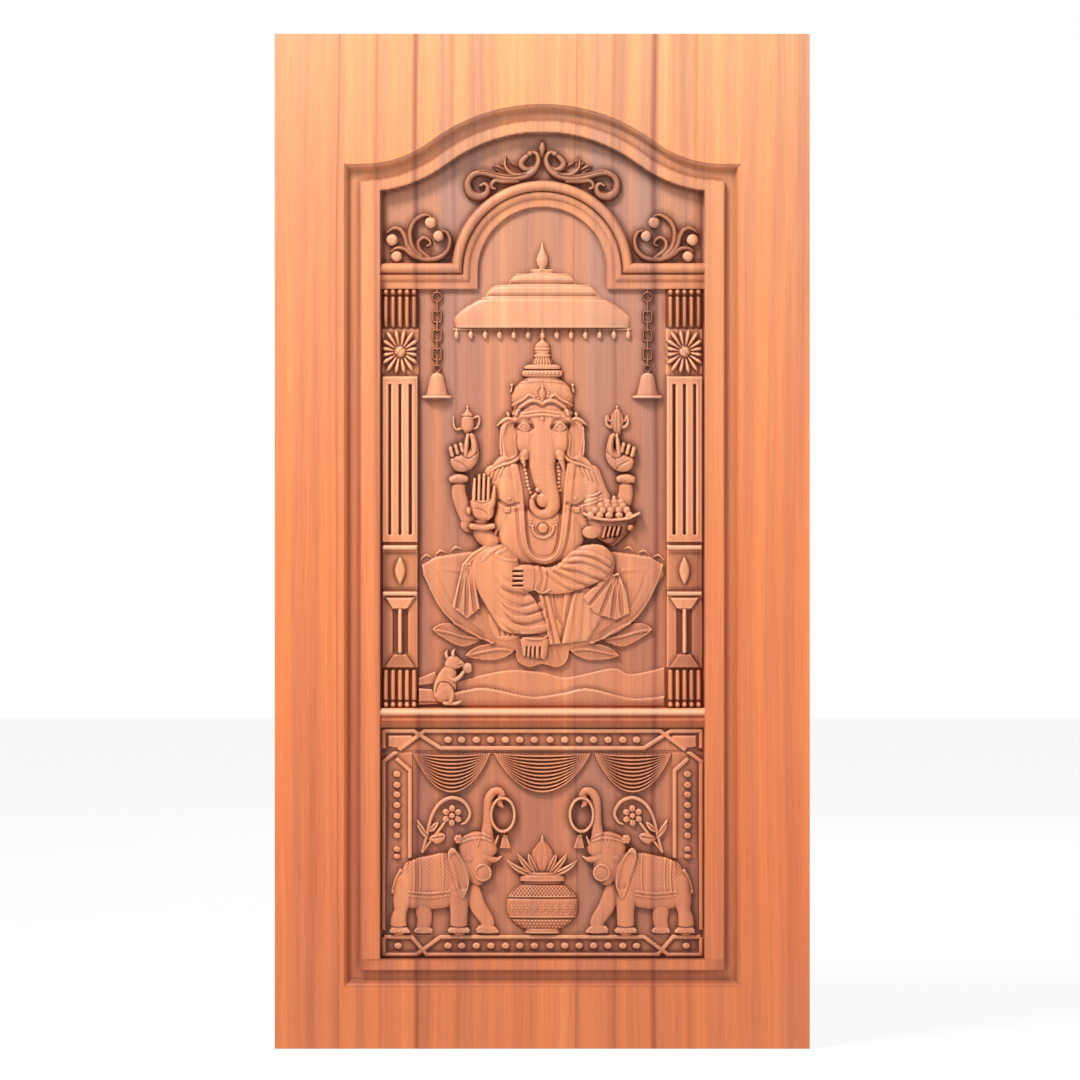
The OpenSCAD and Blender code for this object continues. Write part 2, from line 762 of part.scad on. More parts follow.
module deity_legs(h) {
    limb([[-62, 316, 32, h * 0.6], [-114, 270, 32, h * 0.74], [-88, 204, 30, h * 0.66],
        [-48, 166, 22, h * 0.6],
        [-22, 142, 15, h * 0.55]]);
    hull() {
        knob(-22, 134, 13, 12, h * 0.55, 0, 6);
        knob(-38, 114, 8, 7, h * 0.4, 0, 6);
        knob(8, 114, 8, 7, h * 0.4, 0, 6);
    }
    limb([[30, 300, 30, h * 0.68], [112, 296, 32, h * 0.76], [64, 268, 22, h * 0.84],
        [-6, 260, 17, h * 0.84]]);
    limb([[-8, 262, 15, h * 0.84], [-42, 276, 11, h * 0.8]], 6);
    limb([[-8, 256, 14, h * 0.84], [-44, 244, 11, h * 0.8]], 6);
    rib([[6, 236, 13, h * 0.5], [4, 180, 12, h * 0.42], [6, 128, 10, h * 0.36]]);
    limb([[142, 270, 16, h * 0.5], [110, 216, 22, h * 0.46], [122, 190, 20, h * 0.4]]);
    rib([[-138, 306, 12, h * 0.4], [-140, 230, 16, h * 0.44], [-154, 180, 4, h * 0.36]]);
}

module seated_deity() {
    h = figure_relief;
    color(teak)
        in_niche() {
            lotus();
            deity_body(h);
            deity_legs(h);
            deity_arms(h);
            deity_head(h);
        }
}

// Mouse with a sweet, at the foot of the seat
module mouse() {
    color(teak)
        in_niche() {
            limb([[-198, 34, 24, 12], [-190, 62, 20, 12], [-176, 92, 14, 12], [-160, 90, 6, 9]]);
            knob(-180, 110, 8, 9, 12, 0, 6);
            knob(-190, 104, 7, 9, 10, 0, 6);
            limb([[-186, 66, 7, 13], [-166, 62, 6, 13], [-152, 76, 9, 10]], 6);
            limb([[-206, 20, 12, 12], [-178, 12, 9, 12], [-164, 11, 7, 9]], 6);
            rib([[-214, 14, 10, 9], [-228, 34, 8, 7], [-230, 60, 6, 6], [-222, 74, 4, 5]]);
        }
}

// Rolling ground below the seat, as two lines of hills with rounded crests
function hills(crests, n) = [for (i = [0:len(crests) - 2]) for (k = [0:n]) if (k < n || i == len(crests) - 2)
    let (a = crests[i], b = crests[i + 1], s = k / n)
    [a.x + (b.x - a.x) * s, a.y + (b.y - a.y) * (1 - cos(180 * s)) / 2]];

module hill_line(crests, h) {
    linear_extrude(h)
        polygon(concat([[crests[0].x, 0]], hills(crests, 6), [[crests[len(crests) - 1].x, 0]]));
}

module ground_hills() {
    fit = niche_fit;
    end = niche_design.x / 2 - carving_gap;
    far = [[-142, 60], [-67, 76], [51, 62], [141, 80], [179, 68], [end, 82]];
    near = [[-142, 30], [-112, 40], [-21, 23], [93, 39], [180, 20], [end, 24]];
    color(teak_deep)
        planted()
            translate([0, niche_z, 0]) {
                hill_line([for (p = far) [p.x * fit.x, p.y * fit.y]], 4);
                hill_line([for (p = near) [p.x * fit.x, p.y * fit.y]], 8);
            }
}

// Straight strap in plan between two points
module strap(a, b) {
    along = (b - a) / norm(b - a);
    across = [-along.y, along.x] * strap_w / 2;
    polygon([a - across, b - across, b + across, a + across]);
}

module bead(x, y) {
    translate([x, y, 0])
        intersection() {
            sphere(r = bead_r, $fn = round_fn);
            translate([-bead_r, -bead_r, 0])
                cube(2 * bead_r);
        }
}

// Strip of strapwork across the panel: straps at both edges, crossed near the ends, with a row of beads
module cross_strapwork(z0, h, beads) {
    half = panel_half - carving_gap;
    low = z0 + strap_w / 2;
    high = z0 + h - strap_w / 2;
    cross = half - 60;
    lean = h * 1.2;
    translate([-half, z0, 0])
        cube([2 * half, h, slip_t]);
    linear_extrude(strap_relief) {
        strap([-half, high], [half, high]);
        strap([-half, low], [half, low]);
        for (side = [-1, 1]) {
            strap([side * cross, high], [side * (cross - lean), low]);
            strap([side * cross, low], [side * (cross - lean), high]);
        }
    }
    for (i = [0:beads - 1])
        bead((i - (beads - 1) / 2) * 2 * (cross - lean - 12) / (beads - 1), z0 + h / 2);
    for (side = [-1, 1])
        bead(side * (half - 26), z0 + h / 2);
}

module top_strapwork() {
    color(teak)
        planted()
            cross_strapwork(cornice_z - carving_gap - strip_h, strip_h, 14);
}

module bottom_strapwork() {
    color(teak)
        planted()
            cross_strapwork(panel_z + carving_gap, strip_h, 14);
}

// Strip down each side, of which only the outer strap goes on below the elephant's back
module side_strapwork(side) {
    beads = 9;
    outer = panel_half - carving_gap;
    w = side_strip_w;
    top = scene_z + scene_h;
    foot = scene_z + (200 - plinth_ground) * plinth_fit.y;
    lean = 30;
    pitch = (top - foot - lean - 3 * bead_r) / (beads - 1);
    color(teak)
        planted()
            mirrored(side)
                translate([-outer, 0, 0]) {
                    translate([0, foot, 0])
                        cube([w, top - foot, slip_t]);
                    linear_extrude(strap_relief) {
                        strap([strap_w / 2, scene_z], [strap_w / 2, top]);
                        strap([w - strap_w / 2, foot], [w - strap_w / 2, top]);
                        strap([w / 2, top - strap_w], [w - strap_w, top - lean]);
                    }
                    for (i = [0:beads - 1])
                        bead(w / 2, foot + 1.5 * bead_r + i * pitch);
                }
}

// Curtain swag: nested folds hung from two corners
module swag(x, w) {
    nu = 8;
    folds = 8;
    nv = 2 * folds;
    top = plinth_ground + plinth_design.y;
    sag = 82;
    m = nv + 1;
    inner = [for (i = [1:nu - 1]) for (j = [0:nv]) let (s = 2 * i / nu - 1)
        [x + s * w / 2, top - sag * pow(1 - s * s, 0.6) * j / nv,
            curtain_relief * (j % 2 == 1 ? 0.5 : 1) * (1 - 0.4 * s * s)]];
    tips = [for (s = [-1, 1]) for (h = [0.5, 0]) [x + s * w / 2, top, curtain_relief * h]];
    n = len(inner);
    feet = [for (i = [0:nu - 2]) for (j = [0, nv]) [inner[i * m + j].x, inner[i * m + j].y, 0]];
    f = n + 4;
    end = (nu - 2) * m;
    stop = 2 * (nu - 2);
    front = [for (i = [0:nu - 3]) for (j = [0:nv - 1]) let (a = i * m + j)
        each [[a, a + m, a + m + 1], [a, a + m + 1, a + 1]]];
    ends = [for (j = [0:nv - 1]) each [[n, j, j + 1], [n + 2, end + j + 1, end + j]]];
    walls = [for (i = [0:nu - 3]) let (a = i * m, q = f + 2 * i)
        each [[a, q, q + 2], [a, q + 2, a + m], [a + nv, a + m + nv, q + 3], [a + nv, q + 3, q + 1]]];
    corners = [[n, n + 1, f], [n, f, 0], [n, nv, f + 1], [n, f + 1, n + 1],
        [end, f + stop, n + 3], [end, n + 3, n + 2], [end + nv, n + 2, n + 3],
            [end + nv, n + 3, f + stop + 1]];
    back = concat([for (i = [0:nu - 3]) let (q = f + 2 * i) each [[q, q + 1, q + 3], [q, q + 3, q + 2]]],
        [[n + 1, f + 1, f], [n + 3, f + stop, f + stop + 1]]);
    color(teak_pale)
        in_plinth()
            polyhedron(concat(inner, tips, feet), concat(front, ends, walls, corners, back));
}

// Standing elephant with raised trunk and garland, drawn on the left
module elephant(side) {
    h = elephant_relief;
    color(teak)
        in_plinth()
            mirrored(side) {
                hull() {
                    knob(-262, 142, 36, 40, h * 0.62, 0, 10);
                    knob(-190, 160, 44, 48, h * 0.7, 0, 10);
                }
                knob(-226, 172, 40, 42, h * 0.8, 0, 8);
                knob(-132, 208, 30, 42, h * 0.9, 0, 10);
                knob(-118, 174, 17, 17, h);
                knob(-162, 238, 14, 16, h * 0.75);
                rib([[-186, 230, 6, h * 0.7], [-180, 214, 15, h * 0.9], [-170, 172, 21, h * 0.95],
                    [-160, 138, 12, h * 0.9], [-155, 122, 4, h * 0.7]]);
                rib([[-114, 214, 18, h * 0.85], [-112, 240, 17, h * 0.82], [-110, 278, 13, h * 0.75],
                    [-107, 306, 10, h * 0.65], [-98, 324, 8, h * 0.6], [-84, 328, 6, h * 0.5]]);
                rib([[-106, 216, 6, h * 0.8], [-96, 232, 5, h * 0.7], [-90, 244, 2, h * 0.5]]);
                rib([[-116, 208, 12, h * 0.8], [-100, 203, 10, h * 0.7], [-84, 200, 5, h * 0.5]]);
                rib([[-126, 166, 12, h * 0.8], [-110, 157, 10, h * 0.7], [-100, 156, 5, h * 0.5]]);
                for (half = [0, 180])
                    rib([for (i = [0:6]) let (t = half - 5 + 190 * i / 6)
                        [-80 + 22 * cos(t), 291 + 32 * sin(t), 4.5, h * 0.45]]);
                rib([[-78, 262, 4, h * 0.4], [-77, 246, 5, h * 0.4], [-76, 230, 8, h * 0.45],
                    [-76, 224, 4, h * 0.3]]);
                rib([[-274, 138, 24, h * 0.66], [-281, 112, 21, h * 0.7], [-281, 84, 16, h * 0.7],
                    [-284, 62, 17, h * 0.72], [-285, 51, 17, h * 0.6]]);
                rib([[-241, 120, 17, h * 0.45], [-239, 84, 13, h * 0.45], [-238, 51, 15, h * 0.42]]);
                rib([[-170, 138, 24, h * 0.72], [-168, 106, 19, h * 0.75], [-167, 78, 16, h * 0.75],
                    [-166, 51, 18, h * 0.7]]);
                rib([[-140, 136, 19, h * 0.5], [-128, 96, 15, h * 0.5], [-119, 68, 13, h * 0.5],
                    [-117, 51, 15, h * 0.45]]);
                rib([[-286, 176, 5, h * 0.4], [-294, 162, 5, h * 0.4], [-300, 140, 4, h * 0.35],
                    [-302, 130, 5, h * 0.3]]);
            }
}

// Flower on a curling stem above the elephant, drawn on the left
module spray(side) {
    petals = 6;
    eye = [-181, 286];
    color(teak)
        in_plinth()
            mirrored(side) {
                rib([[-236, 216, 4, 6], [-228, 246, 4, 6], [-220, 284, 4, 6]]);
                rib(volute([-181, 284], 39, 17, 180, -70, 4, 3, 7, 8));
                for (i = [0:petals - 1]) let (t = 360 * i / petals)
                    knob(eye.x + 12 * cos(t), eye.y + 12 * sin(t), 7, 7, 7, t, 5);
                knob(eye.x, eye.y, 7, 7, 9, 0, 6);
                rib([[-229, 246, 3, 5], [-219, 244, 7, 6], [-207, 241, 8, 7], [-196, 238, 2, 4]]);
                rib([[-227, 246, 3, 5], [-238, 250, 7, 6], [-246, 258, 6, 7], [-253, 271, 2, 4]]);
            }
}

// Water pot with mango leaves and a coconut
module water_pot() {
    h = pot_relief;
    leaves = 5;
    color(teak)
        in_plinth() {
            turned(0, [[plinth_ground, 37], [54, 37], [56, 34], [66, 52], [84, 68], [106, 74], [126, 70],
                [142, 56], [150, 42], [154, 40], [156, 46], [164, 46], [166, 38], [172, 30]],
                h * 0.45, h * 0.0075, 10);
            turned(0, [[170, 14], [200, 20], [218, 21], [234, 13], [246, 3]], h * 0.3, h * 0.012, 6);
            for (i = [0:leaves - 1]) let (t = 90 + (i - (leaves - 1) / 2) * 31, c = cos(t), s = sin(t))
                rib([[20 * c, 158 + 2 * s, 7, h * 0.5], [34 * c, 158 + 22 * s, 11, h * 0.6],
                    [46 * c, 158 + 36 * s, 9, h * 0.55], [58 * c, 158 + 50 * s, 2, h * 0.3]]);
        }
}

// Crest of scrolls and leaves over the arch
module crest_carving() {
    h = scroll_relief;
    seat = arch_r + carving_gap / 2;
    c = [-122, 172];
    color(teak_pale)
        planted()
            translate([0, spring_z, 0])
                scale([seat / 183, seat / 183, 1]) {
                    both() {
                        rib(volute(c, 22, 8, 70, -290, 7, 4, h, 9));
                        knob(c.x, c.y, 7, 7, h * 1.1);
                        rib([[-117, 193, 7, h], [-84, 190, 9, h], [-52, 196, 8, h], [-30, 208, 6, h]]);
                        rib(volute([-26, 222], 14, 6, -60, 250, 5, 4, h, 6));
                        rib([[-80, 190, 8, h], [-90, 202, 10, h], [-101, 211, 8, h],
                            [-115, 216, 2, h * 0.6]]);
                        rib([[-54, 192, 8, h], [-62, 206, 10, h], [-73, 222, 8, h],
                            [-80, 238, 2, h * 0.6]]);
                        rib([[-36, 214, 6, h * 0.9], [-26, 204, 6, h], [-12, 192, 7, h]]);
                    }
                    rib([[0, 187, 8, h], [0, 206, 13, h * 1.1], [0, 226, 12, h * 1.15], [0, 244, 8, h],
                        [0, 258, 2, h * 0.5]], 4);
                }
}

// Scrolled leaf on each shoulder of the arch, drawn on the left
module scroll(side) {
    h = scroll_relief;
    wide = (panel_half - arch_r) / 143;
    color(teak_pale)
        planted()
            mirrored(side)
                translate([-panel_half, niche_top + arch_w, 0])
                    scale([wide, 1, 1]) {
                        rib([[10, 11, 4, h * 0.7], [40, 10, 7, h], [76, 14, 9, h], [102, 30, 8, h],
                            [111, 52, 6, h], [106, 76, 5, h]]);
                        rib(volute([26, 30], 22, 16, -80, 130, 6, 4, h, 6));
                        rib(volute([92, 76], 17, 12, -10, 200, 6, 4, h, 6));
                        rib(volute([82, 44], 18, 8, -120, -330, 6, 4, h, 6));
                        rib([[62, 12, 7, h], [60, 32, 8, h], [47, 54, 2, h * 0.7]]);
                        rib([[106, 42, 5, h], [120, 32, 7, h], [130, 18, 7, h], [133, 4, 3, h * 0.6]]);
                        knob(24, 46, 12, 12, h * 1.1);
                        knob(33, 13, 11, 11, h * 1.1);
                        knob(101, 80, 12, 12, h * 1.1);
                        knob(118, 52, 11, 11, h * 1.1);
                    }
}

stile(-1);  // left_stile
stile(1);  // right_stile
top_rail();
bottom_rail();
ground_panel();
side_channel(-1);  // left_channel
side_channel(1);  // right_channel
bottom_channel();
arch_channel();
side_band(-1);  // left_band
side_band(1);  // right_band
bottom_band();
arch_band();
niche_arch();
crest_carving();
scroll(-1);  // left_scroll
scroll(1);  // right_scroll
pilaster(-1);  // left_pilaster
pilaster(1);  // right_pilaster
chain(-1);  // left_chain
chain(1);  // right_chain
bell(-1);  // left_bell
bell(1);  // right_bell
parasol();
seated_deity();
mouse();
ground_hills();
base_cornice();
top_strapwork();
bottom_strapwork();
side_strapwork(-1);  // left_strapwork
side_strapwork(1);  // right_strapwork
swag(-184, 146);  // left_swag
swag(0, 188);  // middle_swag
swag(184, 146);  // right_swag
elephant(-1);  // left_elephant
elephant(1);  // right_elephant
spray(-1);  // left_spray
spray(1);  // right_spray
water_pot();
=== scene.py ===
import json
import math

import bmesh
import bpy
import numpy as np
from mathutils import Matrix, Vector
from mathutils.bvhtree import BVHTree
from mathutils.geometry import delaunay_2d_cdt


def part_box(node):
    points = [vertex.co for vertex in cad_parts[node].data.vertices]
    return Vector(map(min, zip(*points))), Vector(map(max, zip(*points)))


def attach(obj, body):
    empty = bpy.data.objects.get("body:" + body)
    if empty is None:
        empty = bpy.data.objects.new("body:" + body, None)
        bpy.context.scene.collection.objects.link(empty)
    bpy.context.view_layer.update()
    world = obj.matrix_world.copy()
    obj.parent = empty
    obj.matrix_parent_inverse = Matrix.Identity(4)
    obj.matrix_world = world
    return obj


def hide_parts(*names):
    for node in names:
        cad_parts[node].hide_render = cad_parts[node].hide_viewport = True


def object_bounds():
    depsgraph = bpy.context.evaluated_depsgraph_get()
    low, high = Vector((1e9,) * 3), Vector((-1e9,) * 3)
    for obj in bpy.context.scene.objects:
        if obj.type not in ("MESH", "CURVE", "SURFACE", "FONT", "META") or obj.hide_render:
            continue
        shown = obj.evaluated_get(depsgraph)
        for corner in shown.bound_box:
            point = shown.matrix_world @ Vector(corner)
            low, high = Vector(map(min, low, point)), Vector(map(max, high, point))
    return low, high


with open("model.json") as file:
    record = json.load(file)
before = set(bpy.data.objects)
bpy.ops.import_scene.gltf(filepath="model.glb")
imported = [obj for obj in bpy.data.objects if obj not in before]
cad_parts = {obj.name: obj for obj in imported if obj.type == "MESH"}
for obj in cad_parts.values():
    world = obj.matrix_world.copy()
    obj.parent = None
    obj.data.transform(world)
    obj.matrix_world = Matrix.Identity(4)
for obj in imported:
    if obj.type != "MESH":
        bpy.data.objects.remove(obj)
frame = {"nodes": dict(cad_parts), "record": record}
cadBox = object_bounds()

groundY = -1.0  # mm, the face that every carving is planted on


# Canvas of heights over the ground, in mm, that a carving is worked on
def canvas(u0, v0, u1, v1, cell):
    u = np.arange(u0, u1 + cell, cell)
    v = np.arange(v0, v1 + cell, cell)
    return {"u": u, "v": v, "cell": cell, "h": np.zeros((len(v), len(u)))}


def window(c, x0, y0, x1, y1):
    i0 = max(0, int((x0 - c["u"][0]) / c["cell"]) - 1)
    i1 = max(i0, min(len(c["u"]), int((x1 - c["u"][0]) / c["cell"]) + 3))
    j0 = max(0, int((y0 - c["v"][0]) / c["cell"]) - 1)
    j1 = max(j0, min(len(c["v"]), int((y1 - c["v"][0]) / c["cell"]) + 3))
    return (slice(j0, j1), slice(i0, i1)), c["u"][None, i0:i1], c["v"][j0:j1, None]


# Smooth line through the points of a path, n steps from each to the next
def smooth(path, n=5, closed=False):
    p = np.array(path, float)
    last = len(p) - 1
    out = []
    spans = range(last + 1) if closed else range(last)
    for i in spans:
        if closed:
            a, b, d, e = p[i - 1], p[i], p[(i + 1) % len(p)], p[(i + 2) % len(p)]
        else:
            a, b, d, e = p[max(i - 1, 0)], p[i], p[i + 1], p[min(i + 2, last)]
        for k in range(n):
            t = k / n
            out.append(0.5 * (2 * b + (d - a) * t + (2 * a - 5 * b + 4 * d - e) * t * t
                              + (3 * b - a - 3 * d + e) * t ** 3))
    if not closed:
        out.append(p[-1])
    return np.array(out)


# Height of a swept section along [x, y, radius, height]; low is the share that stands at its edge
def sweep(c, path, low, n):
    p = smooth(path, n) if n > 1 else np.array(path, float)
    r = np.maximum(p[:, 2], 0.05)
    spot, x, y = window(c, (p[:, 0] - r).min(), (p[:, 1] - r).min(), (p[:, 0] + r).max(), (p[:, 1] + r).max())
    best = np.zeros(c["h"][spot].shape)
    for a, b in zip(p, p[1:]):
        d = b - a
        t = np.clip(((x - a[0]) * d[0] + (y - a[1]) * d[1]) / max(d[0] ** 2 + d[1] ** 2, 1e-9), 0, 1)
        far = np.hypot(x - a[0] - t * d[0], y - a[1] - t * d[1]) / np.maximum(a[2] + t * d[2], 0.05)
        form = (a[3] + t * d[3]) * (low + (1 - low) * np.sqrt(np.clip(1 - far * far, 0, 1)))
        best = np.maximum(best, np.where(far < 1, form, 0))
    return spot, best


def stroke(c, path, low=0.35, n=5):
    spot, best = sweep(c, path, low, n)
    c["h"][spot] = np.maximum(c["h"][spot], best)


# Raised line on whatever is there already; tail is the share left at its first point
def welt(c, path, r, rise, n=5, tail=1):
    share = [tail] + [1] * len(path)
    spot, best = sweep(c, [(p[0], p[1], r * k, rise * k) for p, k in zip(path, share)], 0, n)
    c["h"][spot] = np.where(c["h"][spot] > 0, c["h"][spot] + best, 0)


def groove(c, path, r, depth, n=5, tail=1):
    share = [tail] + [1] * len(path)
    spot, best = sweep(c, [(p[0], p[1], r * k, depth * k) for p, k in zip(path, share)], 0, n)
    held = c["h"][spot]
    c["h"][spot] = np.where(held > 0, np.maximum(held - best, np.minimum(held, 0.6)), 0)


def around(c, x, y, rx, ry, turn):
    reach = max(rx, ry)
    spot, px, py = window(c, x - reach, y - reach, x + reach, y + reach)
    s, k = math.sin(math.radians(turn)), math.cos(math.radians(turn))
    return spot, np.hypot(((px - x) * k + (py - y) * s) / rx, ((py - y) * k - (px - x) * s) / ry)


# Rounded form from low at its rim to high at its middle
def dome(c, x, y, rx, ry, low, high, turn=0):
    spot, d = around(c, x, y, rx, ry, turn)
    form = np.where(d < 1, low + (high - low) * np.sqrt(np.clip(1 - d * d, 0, 1)), 0)
    c["h"][spot] = np.maximum(c["h"][spot], form)


# Rounded form added to whatever is there already
def boss(c, x, y, rx, ry, rise, turn=0):
    spot, d = around(c, x, y, rx, ry, turn)
    c["h"][spot] += np.where(d < 1, rise * np.sqrt(np.clip(1 - d * d, 0, 1)), 0)


# Gentle rounding of whatever is there already, full at the middle
def swell(c, x, y, rx, ry, rise, turn=0):
    spot, d = around(c, x, y, rx, ry, turn)
    c["h"][spot] += np.where(c["h"][spot] > 0, rise * np.clip(1 - d * d, 0, 1), 0)


# Ball that stands on the height found under its middle
def ball(c, x, y, r, rise=None):
    j = int(np.clip(round((y - c["v"][0]) / c["cell"]), 0, len(c["v"]) - 1))
    i = int(np.clip(round((x - c["u"][0]) / c["cell"]), 0, len(c["u"]) - 1))
    under = c["h"][j, i]
    dome(c, x, y, r, r, under + 0.3, under + (r if rise is None else rise))


def beads(c, path, r, rise, count):
    p = smooth([(q[0], q[1]) for q in path], 12)
    run = np.concatenate([[0], np.cumsum(np.hypot(*np.diff(p, axis=0).T))])
    places = [(np.interp(s, run, p[:, 0]), np.interp(s, run, p[:, 1])) for s in np.linspace(0, run[-1], count)]
    for x, y in places:
        boss(c, x, y, r, r, rise)


# Outline filled to a height, with a rounded edge of the given width
def shape(c, outline, high, edge, low=0.4, n=4, tilt=(0, 0)):
    p = smooth(outline, n, True) if n > 1 else np.array(outline, float)
    spot, x, y = window(c, p[:, 0].min(), p[:, 1].min(), p[:, 0].max(), p[:, 1].max())
    inside = np.zeros(c["h"][spot].shape, bool)
    near = np.full(inside.shape, 1e9)
    for a, b in zip(p, np.roll(p, -1, axis=0)):
        d = b - a
        t = np.clip(((x - a[0]) * d[0] + (y - a[1]) * d[1]) / max(d[0] ** 2 + d[1] ** 2, 1e-9), 0, 1)
        near = np.minimum(near, np.hypot(x - a[0] - t * d[0], y - a[1] - t * d[1]))
        if a[1] != b[1]:
            crossed = ((a[1] > y) != (b[1] > y)) & (x < a[0] + (y - a[1]) * d[0] / d[1])
            inside ^= crossed
    s = 1 - np.clip(near / edge, 0, 1)
    mid = p.mean(axis=0)
    form = high * (low + (1 - low) * np.sqrt(1 - s * s)) + (x - mid[0]) * tilt[0] + (y - mid[1]) * tilt[1]
    c["h"][spot] = np.maximum(c["h"][spot], np.where(inside, np.maximum(form, 0.5), 0))


# Half-round turned form standing up: profile of [height, radius]
def turned(c, x, profile, base, share, bulge=2.0):
    p = np.array(profile, float)
    spot, px, py = window(c, x - p[:, 1].max(), p[0, 0], x + p[:, 1].max(), p[-1, 0])
    r = np.interp(py, p[:, 0], p[:, 1], left=0, right=0)
    d = np.abs(px - x) / np.maximum(r, 0.01)
    form = np.where((d < 1) & (r > 0), (base + share * r) * np.sqrt(np.clip(1 - d ** bulge, 0, 1)), 0)
    c["h"][spot] = np.maximum(c["h"][spot], form)


def bar(c, x0, y0, x1, y1, high, edge=1.5):
    shape(c, [(x0, y0), (x1, y0), (x1, y1), (x0, y1)], high, edge, 0.6, 1)


# Path as drawn for the left half, or turned over for the right half
def sided(path, s):
    return [(s * p[0],) + tuple(p[1:]) for p in path]


def blur(h, n):
    for axis in (0, 1):
        for _ in range(n):
            a = np.roll(h, 1, axis)
            b = np.roll(h, -1, axis)
            h = (a + 2 * h + b) / 4
    return h


# Share of the sky that each cell sees past its neighbours, from one distance out to another
def openness(h, cell, start, reach, ways=12):
    total = np.zeros(h.shape)
    for k in range(ways):
        t = 2 * math.pi * k / ways
        steep = np.zeros(h.shape)
        d = start
        while d <= reach:
            i, j = round(d * math.cos(t) / cell), round(d * math.sin(t) / cell)
            if i or j:
                steep = np.maximum(steep, (np.roll(h, (-j, -i), (0, 1)) - h) / (math.hypot(i, j) * cell))
            d *= 1.45
        total += 1 / (1 + steep * steep)
    return total / ways


def sample(c, grid, x, y):
    i = np.clip((x - c["u"][0]) / c["cell"], 0, len(c["u"]) - 1.001)
    j = np.clip((y - c["v"][0]) / c["cell"], 0, len(c["v"]) - 1.001)
    i0, j0 = i.astype(int), j.astype(int)
    s, t = i - i0, j - j0
    low = grid[j0, i0] * (1 - s) + grid[j0, i0 + 1] * s
    high = grid[j0 + 1, i0] * (1 - s) + grid[j0 + 1, i0 + 1] * s
    return low * (1 - t) + high * t


carvings = []  # drawn carvings, made into meshes once the whole front is known
handwork = {"least": 0.3, "soften": 0.6, "round": 6, "shallow": 0.8, "clear": 0.02}  # mm, soften is a share


# Notes a canvas as a carving on the ground, in place of its CAD nodes. Its look says, in mm, how wide a cell is and how
# high its foot lies, then how much deeper the cuts round its forms go and how much painted shade is added on it
def carve(name, nodes, c, look, mirror=False, addedShade=None):
    solid = c["h"] > handwork["least"]
    solid[[0, -1], :] = False
    solid[:, [0, -1]] = False
    limit = groundY - 1000 * min(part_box(n)[0][1] for n in nodes)
    times = int(2 * (handwork["round"] / c["cell"]) ** 2)
    mellow = blur(np.where(solid, c["h"], 0), 1) * handwork["soften"] + c["h"] * (1 - handwork["soften"])
    h = np.where(solid, mellow, 0)
    mean = blur(h, times) / np.maximum(blur(solid * 1.0, times), 0.2)
    h = np.where(solid, np.maximum(h + look["cut"] * (h - mean), np.minimum(h, handwork["shallow"])), 0)
    carvings.append({"name": name, "nodes": nodes, "side": -1 if mirror else 1, "solid": solid, "cell": c["cell"],
                     "u": c["u"] + look.get("x", 0), "v": look["foot"] + c["v"],
                     "h": np.minimum(h, limit - handwork["clear"]), "addedShade": look["addedShade"] if addedShade is None else addedShade})


# Notes a carving drawn on the left, and the same turned over on the right
def pair(what, c, look, addedShade=None):
    for side in ("left", "right"):
        carve("dressed_" + side + "_" + what, [side + "_" + what], c, look, side == "right", addedShade)


def meshed(name, bm):
    mesh = bpy.data.meshes.new(name)
    bm.to_mesh(mesh)
    bm.free()
    return mesh


def link(name, mesh, nodes, slot):
    piece = bpy.data.objects.new(name, mesh)
    bpy.context.collection.objects.link(piece)
    mesh.materials.append(woods[slot])
    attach(piece, "root")
    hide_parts(*nodes)
    print(name, sum(len(p.vertices) - 2 for p in mesh.polygons), "triangles")


def srgb(code):
    parts = [int(code[i:i + 2], 16) / 255 for i in (1, 3, 5)]
    return [p / 12.92 if p <= 0.04045 else ((p + 0.055) / 1.055) ** 2.4 for p in parts] + [1.0]


# Adds a node with its settings, its inputs as links or values, and its stops as colours or grey levels
def add(tree, kind, inputs=None, stops=(), **settings):
    node = tree.nodes.new(kind)
    for key, value in settings.items():
        setattr(node, key, value)
    for key, value in (inputs or {}).items():
        if isinstance(value, bpy.types.NodeSocket):
            tree.links.new(value, node.inputs[key])
        else:
            node.inputs[key].default_value = value
    while stops and len(node.color_ramp.elements) < len(stops):
        node.color_ramp.elements.new(0.5)
    for k, (place, colour) in enumerate(stops):
        node.color_ramp.elements[k].position = place
        node.color_ramp.elements[k].color = srgb(colour) if isinstance(colour, str) else [colour] * 3 + [1.0]
    return node.outputs


grain = {  # scales count the pattern to a metre, across, through and up the leaf
    "wander": (5, 5, 0.7), "rings": (34, 10, 0.45), "streaks": (15, 4, 0.3), "fibres": (520, 160, 7),
    # the palest colour here is that of the painted highlight on raised edges
    "board": 0.476, "start": 0.411, "ash": "#b5968c", "heart": "#b48a8c", "paintedLight": "#ffd9b0",
    "threads": [(0.3, 0.36), (0.62, 0.62)],
    "hearts": [(0.0, 0.55), (0.012, 0.0), (0.155, 0.0), (0.172, 0.5), (0.185, 0.05), (0.315, 0.0), (0.335, 1.0),
               (0.352, 0.1), (0.48, 0.0), (0.5, 0.45), (0.515, 0.0), (0.985, 0.0)]}


